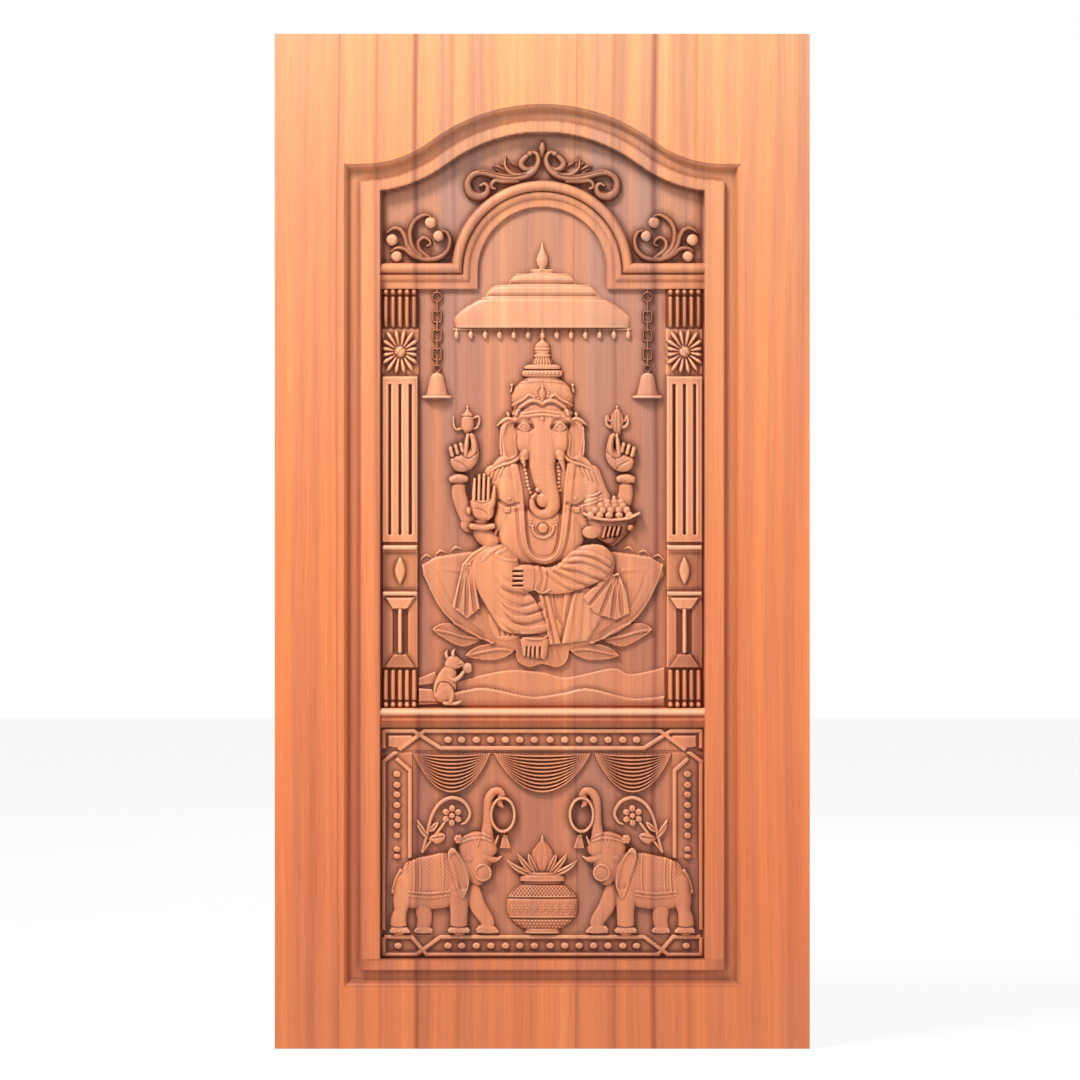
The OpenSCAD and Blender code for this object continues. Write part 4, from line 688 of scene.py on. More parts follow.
# Lotus seat: broad cup, outer petals with a raised lip, leaves below
lotus = {"cell": 1.8, "foot": nicheZ, "cut": 0.6, "addedShade": 0.12, "shadeTop": 300, "shadeFade": 150}
seat = canvas(-246, 76, 248, 330, lotus["cell"])
cup = [(-241, 288), (-226, 240), (-203, 201), (-168, 166), (-123, 139), (-50, 112), (50, 112), (123, 139), (168, 166),
    (203, 201), (228, 240), (244, 288), (147, 314), (-147, 314)]
shape(seat, cup, 6.6, 10, 0.55, 2)
for s in (-1, 1):
    swell(seat, s * 186, 214, 40, 76, 2.4, s * -30)
    shape(seat, sided([(238, 288), (160, 309), (158, 272), (206, 275)], s), 6.4, 4, 0.8, 1, (0, -0.12))
    shape(seat, sided([(240, 287), (208, 274), (200, 236), (178, 196), (146, 160), (170, 168), (203, 202),
        (226, 240)], s), 7.6, 9, 0.6, 2)
    shape(seat, sided([(206, 274), (160, 270), (128, 196), (100, 142), (142, 158), (178, 196), (200, 236)],
        s), 7.2, 12, 0.55, 2)
    stroke(seat, sided([(241, 288, 1.6, 7.6), (231, 256, 2.4, 8), (214, 218, 2.6, 8), (190, 184, 2.6, 8),
        (154, 156, 2.6, 8), (100, 130, 2.2, 7.4)], s), 0.8)
    groove(seat, sided([(208, 270), (192, 228), (160, 184), (118, 148)], s), 4, 0.7)
    for k, (x, y) in enumerate(((232, 304), (203, 313), (172, 320))):
        stroke(seat, [(s * (x + 12), y - 8, 2, 2.6), (s * (x + 2), y + 2, 3, 3.4),
            (s * (x - 10), y - 2, 2, 2.6)], 0.5)
    # leaf petals
    shape(seat, sided([(222, 157), (197, 171), (162, 164), (118, 138), (146, 124), (168, 123),
        (197, 138)], s), 4.6, 6, 0.5, 3)
    for edge in ([(222, 157), (197, 171), (162, 164), (120, 139)], [(222, 157), (197, 139), (168, 124), (144, 126)],
            [(222, 157), (190, 152), (160, 143), (122, 138)]):
        welt(seat, [(s * p[0], p[1]) for p in edge], 2.8, 1.8)
    shape(seat, sided([(156, 104), (130, 124), (92, 130), (56, 114), (84, 97), (117, 95)], s), 4.8, 6, 0.5, 3)
    for edge in ([(156, 104), (130, 123), (98, 130)], [(156, 104), (118, 95), (84, 97), (58, 113)],
            [(156, 104), (120, 112), (84, 118), (60, 114)]):
        welt(seat, [(s * p[0], p[1]) for p in edge], 2.8, 1.7)
shape(seat, [(-52, 116), (-50, 92), (-26, 80), (0, 87), (28, 80), (49, 91), (54, 116), (30, 128),
    (-30, 128)], 6.4, 7, 0.5, 3)
welt(seat, [(-52, 114), (-48, 92), (-26, 81), (0, 88), (28, 81), (48, 92), (53, 114)], 3, 1.4)
for k in range(-3, 4):
    groove(seat, [(10 * k, 116), (12 * k, 96)], 2, 0.7, 1)
shady = lotus["addedShade"] * np.clip((lotus["shadeTop"] - seat["v"]) / lotus["shadeFade"], 0, 1)  # painted shade, darker low down
carve("lotus_seat", ["seated_deity"], seat, lotus, addedShade=np.broadcast_to(shady[:, None], seat["h"].shape))
print("figure drawn")

# Parasol: three smooth tiers with drops along the hem, drawn from the hem up to the finial
parasol = {"cell": 1.4, "foot": nicheZ, "cut": 0.3, "addedShade": -0.08, "drops": 13, "dropGap": 28.7}
sun = canvas(-186, 736, 186, 940, parasol["cell"])
turned(sun, 0, [(762, 174), (776, 177), (784, 176), (794, 167), (806, 151), (816, 134), (824, 117)], 5.2, 0.045, 2.8)
turned(sun, 0, [(824, 116), (832, 112), (842, 103), (849, 92)], 4.8, 0.055, 2.8)
turned(sun, 0, [(849, 68), (856, 66), (864, 60), (871, 50)], 4.8, 0.07, 2.8)
turned(sun, 0, [(871, 24), (874, 25), (879, 23)], 5.4, 0.08, 2.4)
turned(sun, 0, [(879, 9), (884, 8), (889, 11.4), (898, 13.4), (908, 10.5), (918, 5.6), (928, 2.4),
    (936, 0.8)], 4, 0.5)
for y, r in ((825, 122), (850, 96), (872, 54)):
    groove(sun, [(-r, y), (r, y)], 7, 2.4, 1)  # each tier rounds back at its top
for y, r in ((826.5, 118), (851, 80), (881, 20)):
    groove(sun, [(-r, y), (r, y)], 1.8, 1.6, 1)
stroke(sun, [(-178, 759.5, 1.6, 3.4), (178, 759.5, 1.6, 3.4)], 0.6, 1)
for k in range(parasol["drops"]):
    x = -172 + parasol["dropGap"] * k
    stroke(sun, [(x, 760, 1.8, 4.4), (x, 754, 2, 4.4)], 0.5, 1)
    dome(sun, x, 747.5, 5.6, 8.6, 1.6, 7)
stroke(sun, [(0, 760, 3.2, 5.4), (0, 740, 3.2, 5.4)], 0.5, 1)
carve("dressed_parasol", ["parasol"], sun, parasol)

# Mouse that holds up a sweet
mouse = {"cell": 1.1, "foot": nicheZ, "cut": 0.6, "addedShade": 0.0}
rat = canvas(-250, 4, -140, 124, mouse["cell"])
shape(rat, [(-248, 60), (-214, 74), (-206, 50), (-248, 44)], 4, 3, 0.6, 1)
shape(rat, [(-248, 40), (-220, 38), (-206, 12), (-248, 12)], 7, 4, 0.6, 1)
shape(rat, [(-248, 5), (-200, 8), (-196, 16), (-248, 16)], 5, 3, 0.6, 1)
shape(rat, [(-214, 16), (-219, 40), (-210, 66), (-194, 86), (-178, 88), (-170, 66), (-172, 40), (-180, 18),
    (-198, 10)], 11.4, 18, 0.45, 3)
shape(rat, [(-196, 84), (-190, 102), (-176, 106), (-164, 98), (-152, 86), (-164, 80), (-180, 76)], 11.8, 10, 0.5, 3)
stroke(rat, [(-190, 100, 4, 10), (-193, 108, 4.4, 10.5), (-190, 115, 1.6, 8)], 0.5, 2)
stroke(rat, [(-178, 102, 4, 11), (-179, 111, 4.4, 11.6), (-175, 118, 1.6, 8.5)], 0.5, 2)
boss(rat, -172, 95, 2.4, 2.4, 1.2)
groove(rat, [(-166, 86), (-158, 88), (-153, 87)], 1.4, 1.2)
stroke(rat, [(-190, 64, 7, 12), (-178, 56, 6, 12.6), (-166, 62, 5, 12.4), (-158, 72, 4, 11.5)], 0.5)
dome(rat, -150, 80, 11.5, 11.5, 5, 12)
stroke(rat, [(-206, 28, 13, 11.6), (-192, 38, 12, 12.6), (-182, 26, 9, 12.4), (-184, 12, 6, 11.5)], 0.5)
stroke(rat, [(-196, 10, 5, 10.5), (-176, 9, 5, 10.6), (-164, 12, 3.6, 9)], 0.5)
groove(rat, [(-214, 30), (-206, 50), (-188, 50), (-176, 36), (-176, 18)], 2.2, 1.6)
carve("dressed_mouse", ["mouse"], rat, mouse)

# Rolling ground in two lines of hills
hills = {"cell": 1.6, "foot": nicheZ, "cut": 0.6, "addedShade": 0.0}
land = canvas(-190, -1, 250, 90, hills["cell"])
farLine = [(-172, 52), (-142, 61), (-67, 76), (0, 72), (51, 62), (141, 80), (179, 68), (246, 82)]
nearLine = [(-184, 30), (-150, 36), (-112, 40), (-21, 23), (40, 30), (93, 39), (180, 20), (246, 24)]
shape(land, [tuple(p) for p in smooth(farLine, 6)] + [(246, 1), (-172, 1)], 3.0, 5, 0.5, 1, (0, 0.06))
shape(land, [tuple(p) for p in smooth(nearLine, 6)] + [(246, 1), (-184, 1)], 5.6, 6, 0.55, 1, (0, 0.14))
carve("dressed_hills", ["ground_hills"], land, hills)

# Crest: two stems that curl out over the arch, with leaves and a bud between them
crest = {"cell": 1.1, "foot": 1556.0, "cut": 0.4, "addedShade": 0.24, "stemWidth": 1.5}
top = canvas(-160, 138, 160, 268, crest["cell"])
stem = [(-124.5, 171.5, 2.6, 8.6), (-115.8, 175.5, 3.4, 9.4), (-109.3, 169, 4.4, 10), (-111, 158, 5.4, 10.6),
    (-119, 151.5, 6.4, 11), (-132, 150.5, 7, 11), (-144, 157, 6.8, 11), (-149.5, 171.5, 6.2, 11),
    (-147.3, 184, 5.8, 11), (-139, 193.5, 5.6, 11), (-126.7, 198, 5.4, 11), (-112.6, 197, 5.4, 11),
    (-99.6, 193.2, 5.4, 11), (-84.4, 189.5, 5.6, 11), (-67, 187.5, 5.8, 11), (-49.7, 188, 6, 11), (-32.3, 192, 6, 11),
    (-18.2, 200.8, 5.6, 11), (-9.6, 214, 5, 10.8), (-8, 226.8, 4.4, 10.4), (-12.8, 236.4, 4, 10.4),
    (-21.5, 239, 3.4, 9.6)]
curl = [(-25.8, 235, 4, 9.6), (-37, 226, 5, 10), (-42.4, 216, 5.2, 10.2), (-36.4, 206.6, 5, 10),
    (-26, 204.4, 4.2, 9.4), (-17, 210, 2.6, 8.4)]
hook = [(-50, 182, 5, 9.6), (-78, 181.5, 5, 9.8), (-93, 182.4, 4.4, 9.6), (-101, 176, 3.8, 9.4),
    (-101, 168.4, 3.4, 9.2), (-95.4, 165.5, 3, 8.8)]
for s in (1, -1):
    shape(top, sided([(-60, 190), (-86, 198), (-101, 211), (-90, 214), (-80, 209), (-68, 198)], s), 7.6, 5, 0.5, 3)
    groove(top, sided([(-66, 193), (-84, 203), (-97, 210)], s), 3, 3)
    shape(top, sided([(-52, 191), (-66, 197), (-79, 208), (-85, 221), (-74, 214), (-60, 203)], s), 7, 4, 0.5, 3)
    shape(top, sided([(-36, 194), (-56, 193), (-71, 203), (-75, 216), (-73, 231), (-65, 222), (-54, 217),
        (-45, 208)], s), 7.4, 5, 0.5, 3)
    groove(top, sided([(-43, 201), (-55, 207), (-66, 214), (-72, 226)], s), 5.5, 4.4)
    stroke(top, sided([(-36, 194, 4, 9.6), (-56, 194, 5, 10.2), (-70, 203, 4.6, 10), (-75, 216, 3, 9),
        (-73, 231, 1.2, 6)], s), 0.4)
    for path in (hook, stem, curl):
        stroke(top, sided([(x, y, crest["stemWidth"] * r, high) for x, y, r, high in path], s), 0.25)
    groove(top, sided([(p[0] * 0.985, p[1] + 2.6) for p in stem[10:17]], s), 1.6, 1.6)
    dome(top, s * -24.8, 236, 7, 6.4, 6, 11.8)
stroke(top, [(0, 230, 3, 8), (0, 244, 7.4, 11), (0, 252, 6.4, 10.6), (0, 263, 1, 6)], 0.4)
carve("dressed_crest", ["crest_carving"], top, crest)

# Scroll on each shoulder of the arch: stems that curl round four balls
scroll = {"cell": 1.0, "foot": 1573.0, "x": -325, "cut": 0.3, "addedShade": 0.25, "stemWidth": 1.4}
leafy = canvas(2, -1, 154, 108, scroll["cell"])
stems = [
    [(101, 94.3, 2.6, 8.6), (87.6, 96, 4, 9.6), (70.1, 85, 4.8, 10.4), (60.8, 67, 5, 10.6), (60.6, 46, 5, 10.6),
        (68, 27, 5, 10.6), (82, 13, 5, 10.4)],
    [(21.5, 22.4, 2.2, 8), (33.2, 29.6, 3.8, 9.6), (48.7, 28, 4.4, 10.2), (60.4, 18.5, 4.8, 10.4),
        (74, 10.5, 5, 10.4)],
    [(99, 10, 4.4, 10), (79.6, 26, 4.6, 10.2), (77, 41.8, 4.4, 10.2), (87.6, 51, 4, 10), (98, 45.7, 3.6, 9.6),
        (100.6, 37.5, 3, 9), (93.5, 33.8, 2.4, 8.4)],
    [(13.7, 60.5, 2.2, 8), (27, 69.6, 4, 9.6), (41, 66.4, 4.8, 10.4), (50, 51.5, 5, 10.6), (54, 36, 5, 10.6),
        (64.3, 20.4, 5.2, 10.8), (82, 8.6, 5.4, 10.8), (103, 7, 5.4, 10.8), (122, 12.5, 5.2, 10.8),
        (135.6, 26.3, 4.8, 10.6), (140, 45.7, 4.4, 10.4), (134, 60.5, 3.8, 9.8), (124, 65, 2.8, 9)],
]
for path in stems:
    stroke(leafy, [(x, y, scroll["stemWidth"] * r, high) for x, y, r, high in path], 0.2)
# painted shade on the stems, none on the balls
stemShade = np.full(leafy["h"].shape, scroll["addedShade"])
for x, y, r in ((24, 46, 12.4), (33, 13.4, 11.8), (101, 81, 12.2), (117, 54, 11.6)):
    dome(leafy, x, y, r, r, 3, 12.6)
    spot, d = around(leafy, x, y, r, r, 0)
    stemShade[spot] = np.where(d < 1, 0, stemShade[spot])  # the balls get no painted shade
pair("scroll", leafy, scroll, stemShade)

# Pilaster, from its reeded foot to its reeded head
pilaster = {"cell": 1.7, "foot": nicheZ, "x": -285, "cut": 0.5, "addedShade": 0.03, "footShade": 0.12, "headShade": 0.2,
    "reedGap": 14, "petals": 16}
post = canvas(-37.5, -1.5, 37.5, 841.5, pilaster["cell"])
bar(post, -36, 0.5, 36, 839.5, 6, 1)
shape(post, [(-36, 332), (36, 332), (36, 664), (-36, 664)], 10, 2, 0.7, 1)
for x in (-20.5, 0, 20.5):
    groove(post, [(x, 350), (x, 646)], 3.3, 9, 1)
shade = np.full(post["h"].shape, pilaster["addedShade"])
# painted shade between the reeds at the foot and the head
for z0, ballEnd in ((0, 6.6), (760, 73.4)):
    spot, x, y = window(post, -36, z0 + 2, 36, z0 + 78)
    post["h"][spot] = 2.6
    shade[spot] = pilaster["headShade"] if z0 else pilaster["footShade"]
    neck = z0 + ballEnd + (-7.5 if z0 else 7.5)
    for k in range(-2, 3):
        x = pilaster["reedGap"] * k
        stroke(post, [(x, z0 + 7, 6.2, 8), (x, z0 + 24, 6.8, 11.4), (x, z0 + 50, 6.8, 11.4),
            (x, z0 + 73, 6, 8.4)], 0.1, 6)
        dome(post, x, z0 + ballEnd, 6, 6, 5, 11.8)
        groove(post, [(x - 6, neck), (x + 6, neck)], 1.8, 3, 1)
shape(post, [(-31, 80), (31, 80), (29, 86), (15, 106), (14, 108), (-14, 108), (-15, 106), (-29, 86)], 10, 4, 0.5, 1)
stroke(post, [(-10, 110, 3.6, 10.8), (10, 110, 3.6, 10.8)], 0.6, 1)
spot, x, y = window(post, -12, 112, 12, 196)
post["h"][spot] = 4
stroke(post, [(0, 113, 5, 11.8), (0, 195, 5, 11.8)], 0.4, 1)
shape(post, [(-14, 196), (14, 196), (31, 223), (-31, 223)], 10, 5, 0.5, 1)
bar(post, -35.5, 225, 35.5, 234, 11.8, 2.5)
shape(post, [(0, 248), (7, 258), (11, 275), (7, 292), (0, 302), (-7, 292), (-11, 275), (-7, 258)], 12, 9, 0.5, 2)
bar(post, -35.5, 317, 35.5, 326, 11.8, 2.5)
# painted shade from foot to block, painted highlight where below zero: half width, from and to, least height it lies
# on, how much
for half, z0, z1, least, paintedTone in ((36, 78, 224, 0, 0.1), (31, 80, 109, 6.6, 0.2), (31, 196, 224, 6.6, -0.06),
        (12, 112, 196, 0, 0.3), (6, 113, 195, 6.6, -0.02), (36, 224, 235, 0, -0.1), (36, 236, 316, 0, 0.13),
        (14, 240, 310, 6.6, -0.06), (36, 316, 327, 0, -0.1)):
    spot = window(post, -half, z0, half, z1)[0]
    shade[spot] = np.where(post["h"][spot] > least, paintedTone, shade[spot])
groove(post, [(-36, 668), (36, 668)], 2.4, 2.4, 1)
spot, x, y = window(post, -35, 671, 35, 757)
post["h"][spot] = 4.2
petal = ((0, 1.8, 7), (0.5, 4, 10.2), (0.8, 4.4, 10.4), (1, 1.2, 7))  # share of its length, half width, height
for k in range(pilaster["petals"]):
    t = math.radians(360 * (k + 0.5) / pilaster["petals"])
    ca, sa = math.cos(t), math.sin(t)
    end = min(34 / max(abs(ca), 0.01), 42 / max(abs(sa), 0.01), 46)
    out = [(10 + (end - 10) * share, r, high) for share, r, high in petal]
    stroke(post, [(d * ca, 714 + d * sa, r, high) for d, r, high in out], 0.3, 4)
dome(post, 0, 714, 12.5, 12.5, 5.4, 7)
dome(post, 0, 714, 11, 11, 6, 13.6)
groove(post, [(-8, 706), (8, 722)], 1.8, 1.6, 1)
pair("pilaster", post, pilaster, shade)

# Chain and bell
chain = {"cell": 0.9, "foot": 1371.0, "x": -211, "cut": 0.3, "addedShade": 0.27, "links": 3, "linkGap": 37.5}
drop = canvas(-15, -20, 15, 152, chain["cell"])
loopLine = [(-8.4, -8), (-8.4, 8), (-6, 11), (6, 11), (8.4, 8), (8.4, -8), (6, -11), (-6, -11), (-8.4, -8)]
for k in range(chain["links"]):
    y = 19.5 + chain["linkGap"] * k
    stroke(drop, [(a, y + b, 2.9, 5.4) for a, b in loopLine], 0.3, 1)
    stroke(drop, [(0, y + 8, 2.8, 6), (0, y + 28.5, 2.8, 6)], 0.4, 1)
stroke(drop, [(0, 13, 2.8, 6), (0, -4, 2.8, 6)], 0.4, 1)
for y, r in ((134, 9.4), (-9, 7)):
    stroke(drop, [(r * math.cos(t * 0.35), y + r * math.sin(t * 0.35), 2.6, 5.6) for t in range(19)], 0.3, 1)
stroke(drop, [(0, 142, 2.6, 5.8), (0, 150, 2.6, 5.8)], 0.4, 1)
bellLook = {"cell": 1, "foot": 1301.0, "x": -211, "cut": 0.2, "addedShade": -0.05}
bell = canvas(-33, -1, 33, 56, bellLook["cell"])
turned(bell, 0, [(0.5, 29), (1.5, 31), (5, 31), (6.5, 29)], 4, 0.33)
turned(bell, 0, [(6.5, 26), (12, 22), (22, 19.4), (36, 16.4), (44, 14.4), (49, 11), (52, 6), (53.4, 3)], 4, 0.33)
groove(bell, [(-28, 7), (28, 7)], 1.4, 0.8, 1)
pair("chain", drop, chain)
pair("bell", bell, bellLook)
print("niche ready")


# Strapwork round the plinth; painted shade lies wherever it is lower than sunk
straps = {"cell": 1.6, "sideCell": 1.4, "foot": plinthZ, "cut": 0.6, "addedShade": 0.11, "half": 4.4, "high": 4.9,
    "plate": 1.4, "sunk": 2.6}


# Strap with a flat top and rounded edges
def strap(c, path):
    half, high = straps["half"], straps["high"]
    for a, b in zip(path, path[1:]):
        d = math.hypot(b[0] - a[0], b[1] - a[1])
        n = ((a[1] - b[1]) / d * half, (b[0] - a[0]) / d * half)
        shape(c, [(a[0] + n[0], a[1] + n[1]), (b[0] + n[0], b[1] + n[1]), (b[0] - n[0], b[1] - n[1]),
            (a[0] - n[0], a[1] - n[1])], high, 2.6, 0.55, 1)
        dome(c, b[0], b[1], half, half, high * 0.7, high)


beadRow = [-189, -161.5, -132, -103, -74, -45, -16, 16, 45, 74, 103, 132, 161.5, 189]
for name, low, high in (("top", 415, 461), ("bottom", 2, 48)):
    strip = canvas(-325, low - 1.5, 325, high + 1.5, straps["cell"])
    bar(strip, -322.5, low + 0.3, 322.5, high - 0.3, straps["plate"], 0.8)
    mid = (low + high) / 2
    for s in (-1, 1):
        if name == "top":
            strap(strip, [(s * 318, 421), (s * 318, 456), (s * 258, 456), (s * 204, 421), (0, 421)])
            strap(strip, [(s * 288, 417), (s * 236, 456), (0, 456)])
            shape(strip, sided([(309, 447), (264, 447), (252, 440), (282, 420), (309, 424)], s), 4, 3, 0.6, 1)
        else:
            strap(strip, [(s * 318, 43), (s * 262, 43), (s * 232, 7), (0, 7)])
            strap(strip, [(s * 318, 43), (s * 318, 7), (s * 252, 7), (s * 204, 43), (0, 43)])
            boss(strip, s * 289, mid, 8.5, 7, 5)
    for x in beadRow:
        boss(strip, x, mid, 8.6, 7, 5)
    # painted shade on the plate between the straps
    sunk = np.where(strip["h"] < straps["sunk"], straps["addedShade"], 0)
    carve("dressed_" + name + "_strapwork", [name + "_strapwork"], strip, straps, addedShade=sunk)
edging = canvas(-325, 50, -258, 414.5, straps["sideCell"])
shape(edging, [(-322.5, 200.3), (-260.5, 200.3), (-260.5, 412.7), (-322.5, 412.7)], straps["plate"], 0.8,
    0.6, 1, (0, 0.0075))
strap(edging, [(-318, 56), (-318, 395), (-294, 413)])
strap(edging, [(-265, 200), (-265, 376), (-290, 398)])
for y in (369, 347.5, 328, 307, 285.5, 266, 246, 218.5, 204):
    boss(edging, -291.5, y, 8.2, 6.8, 5)
# painted shade on the plate between the straps, fading out towards the foot
sunk = np.where(edging["h"] < straps["sunk"], straps["addedShade"], 0) * np.clip((edging["v"] - 200) / 60, 0, 1)[:, None]
pair("strapwork", edging, straps, sunk)

# Curtain in three swags, each of nested folds that gather at its upper corners
swag = {"cell": 1.1, "foot": plinthZ, "cut": 0.5, "addedShade": 0.15, "folds": 10, "foldGap": 7.9, "gather": 5}
for name, x, w in (("left", -181.5, 161), ("middle", 0, 200), ("right", 181.5, 161)):
    fold = canvas(x - w / 2 - 2, 328, x + w / 2 + 2, 415, swag["cell"])
    spread = [2 * i / 28 - 1 for i in range(29)]
    hang = [(x + t * (w / 2 - 2), 411 - 78 * (1 - t * t) ** 0.9) for t in spread]
    shape(fold, hang + [(x + w / 2 - 2, 412.5), (x - w / 2 + 2, 412.5)], 2.4, 2, 0.6, 1)
    for k in range(swag["folds"]):
        sag = 5 + swag["foldGap"] * k
        stroke(fold, [(x + t * (w / 2 - 3), 410.4 - sag * (1 - t * t) ** 0.9, 0.9 + 2.3 * (1 - t * t),
            4.4 + 3.2 * (1 - t * t)) for t in spread], 0.15, 1)
    bar(fold, x - w / 2 + 1, 409, x + w / 2 - 1, 412.6, 4, 1)
    for i in range(int(w / swag["gather"])):
        at = x - w / 2 + 3 + swag["gather"] * i
        groove(fold, [(at, 409), (at, 413)], 1.1, 1.6, 1)
    carve("dressed_" + name + "_swag", [name + "_swag"], fold, swag)

# Elephant, drawn on the left
elephant = {"cell": 1.2, "foot": plinthZ, "cut": 0.6, "addedShade": 0.0, "quilt": 9}
calf = canvas(-320, 45, -52, 346, elephant["cell"])
# legs on the far side
stroke(calf, [(-242, 116, 14, 7), (-238, 94, 17, 8.4), (-236, 78, 16, 8.4), (-239, 64, 15, 7.4)], 0.4)
shape(calf, [(-255, 50.5), (-221, 50.5), (-223, 62), (-253, 62)], 8, 4, 0.6, 2)
stroke(calf, [(-143, 136, 19, 8.4), (-128, 102, 17, 8.8), (-112, 78, 15, 8.8), (-110, 66, 15, 8.6)], 0.5)
shape(calf, [(-131, 50.5), (-88, 50.5), (-90, 60), (-100, 66), (-128, 66)], 9, 5, 0.6, 2)
# body
shape(calf, [(-268, 196), (-228, 209), (-190, 214), (-160, 206), (-146, 160), (-152, 118), (-186, 102), (-252, 98),
    (-288, 112), (-290, 150), (-282, 178)], 10.6, 34, 0.4, 3)
# legs on the near side
stroke(calf, [(-270, 148, 26, 11.4), (-280, 118, 20, 12.4), (-284, 97, 14.5, 11.4), (-288, 78, 16.5, 12.4),
    (-288, 62, 18, 12)], 0.4)
shape(calf, [(-306, 50.5), (-266, 50.5), (-268, 60), (-276, 64), (-300, 64)], 12.2, 5, 0.6, 2)
stroke(calf, [(-168, 140, 23, 12.6), (-167, 104, 19, 13), (-167, 78, 18, 13), (-167, 62, 18, 12.6)], 0.5)
shape(calf, [(-187, 50.5), (-147, 50.5), (-149, 63), (-185, 63)], 13, 5, 0.6, 2)
for x in (-287, -167):
    groove(calf, [(x - 20, 65), (x, 62), (x + 20, 65)], 1.8, 1.4)
    for k in range(3):
        boss(calf, x - 9 + 9 * k, 54, 3, 3, 0.9)
# blanket with a lattice of quilting and a fringe
cloth = [(-266, 194), (-228, 206), (-190, 211), (-184, 180), (-186, 133), (-226, 129), (-266, 131), (-270, 160)]
shape(calf, cloth, 11.6, 16, 0.72, 2)
for k in range(-12, 14):
    x = -226 + elephant["quilt"] * k
    for lean in (42, -42):
        groove(calf, [(x - lean, 132), (x + lean, 210)], 1.1, 0.35, 1)
welt(calf, [(-268, 134), (-226, 131), (-186, 135)], 2.6, 1.5)
welt(calf, [(-258, 197), (-256, 164), (-258, 134)], 2.4, 1.5)
welt(calf, [(-246, 201), (-244, 164), (-246, 133)], 2.4, 1.2)
welt(calf, [(-200, 210), (-198, 172), (-200, 133)], 2.4, 1.2)
beads(calf, [(-266, 126), (-226, 122), (-188, 127)], 2.4, 1.4, 16)
swell(calf, -224, 152, 76, 62, 3.8)
# tail
stroke(calf, [(-284, 176, 4.4, 9), (-293, 160, 4, 7.4), (-299, 142, 3.4, 6.4)], 0.5)
dome(calf, -299, 134, 5.4, 8, 3, 7)
# head, cheek and jaw
shape(calf, [(-168, 236), (-152, 250), (-130, 256), (-108, 250), (-98, 226), (-100, 196), (-106, 164), (-124, 146),
    (-146, 152), (-166, 190)], 12.4, 28, 0.42, 3)
dome(calf, -130, 222, 27, 30, 8, 13)
stroke(calf, [(-108, 220, 18, 14.6), (-111, 244, 14, 13.6), (-109, 272, 11, 11.6), (-109, 300, 10, 10.4),
    (-107, 320, 10, 10), (-98, 333, 9.4, 9.6), (-86, 335, 8.4, 9.4), (-79, 327, 7, 9.2)], 0.45)
for k in range(8):
    groove(calf, [(-121, 250 + 9 * k), (-109, 253 + 9 * k), (-98, 250 + 9 * k)], 1.4, 0.3)
stroke(calf, [(-114, 204, 11, 13), (-100, 199, 8, 11.4), (-90, 199, 5, 9.6), (-82, 204, 2.6, 8)], 0.5)
stroke(calf, [(-106, 214, 6, 13), (-96, 228, 4.4, 11), (-88, 246, 2, 8.4)], 0.6)
swell(calf, -132, 206, 38, 58, 2.4)
# cheek boss with a dotted face
dome(calf, -118.5, 172, 18, 18, 10, 15.2)
welt(calf, [(-118.5 + 16 * math.cos(t * 0.3), 172 + 16 * math.sin(t * 0.3)) for t in range(22)], 2.4, 1.6, 1)
for i in range(-3, 4):
    for j in range(-3, 4):
        if math.hypot(i, j) < 3.2:
            boss(calf, -118.5 + 4 * i + (j % 2) * 2, 172 + 3.8 * j, 1.7, 1.7, 1)
# eye and brow band
boss(calf, -148, 200, 5, 4, 1.6)
welt(calf, [(-155, 200), (-148, 206), (-141, 200)], 1.6, 1.2)
welt(calf, [(-155, 199), (-148, 194), (-141, 199)], 1.4, 0.9)
beads(calf, [(-166, 232), (-144, 240), (-122, 242), (-102, 236)], 2.8, 1.8, 15)
welt(calf, [(-164, 240), (-142, 249), (-120, 251), (-104, 244)], 2.2, 1.2)
beads(calf, [(-134, 238), (-131, 226), (-127, 238)], 2.4, 1.4, 7)
dome(calf, -168, 239, 10, 10, 7, 12.6)
for k in range(6):
    boss(calf, -168 + 7 * math.cos(k * 1.047), 239 + 7 * math.sin(k * 1.047), 3.2, 3.2, 1.4)
# ear
lobe = [(-188, 216), (-178, 222), (-168, 210), (-152, 182), (-146, 156), (-152, 132), (-160, 122), (-168, 140),
    (-178, 168), (-188, 196)]
shape(calf, lobe, 15.4, 10, 0.75, 3)
groove(calf, [(-176, 204), (-165, 176), (-159, 146)], 9, 2.2)
welt(calf, lobe + lobe[:1], 3, 1.6)
# garland ring held in the trunk, with a tassel
stroke(calf, [(-84, 322, 7, 10), (-86, 312, 7.4, 10.4), (-80, 305, 4, 9)], 0.5)
stroke(calf, [(-79 + 23.4 * math.cos(t * 0.18), 288 + 33.4 * math.sin(t * 0.18), 4.2, 12.6)
    for t in range(36)], 0.3, 1)
stroke(calf, [(-78, 258, 3.6, 7.4), (-76, 246, 4.4, 7.6)], 0.5, 1)
for k in range(-2, 3):
    stroke(calf, [(-75 + 1.4 * k, 246, 2.4, 7), (-74 + 4.4 * k, 222, 2.7, 6.4)], 0.5, 1)
welt(calf, [(-82, 246), (-69, 246)], 1.8, 1.2)
pair("elephant", calf, elephant)

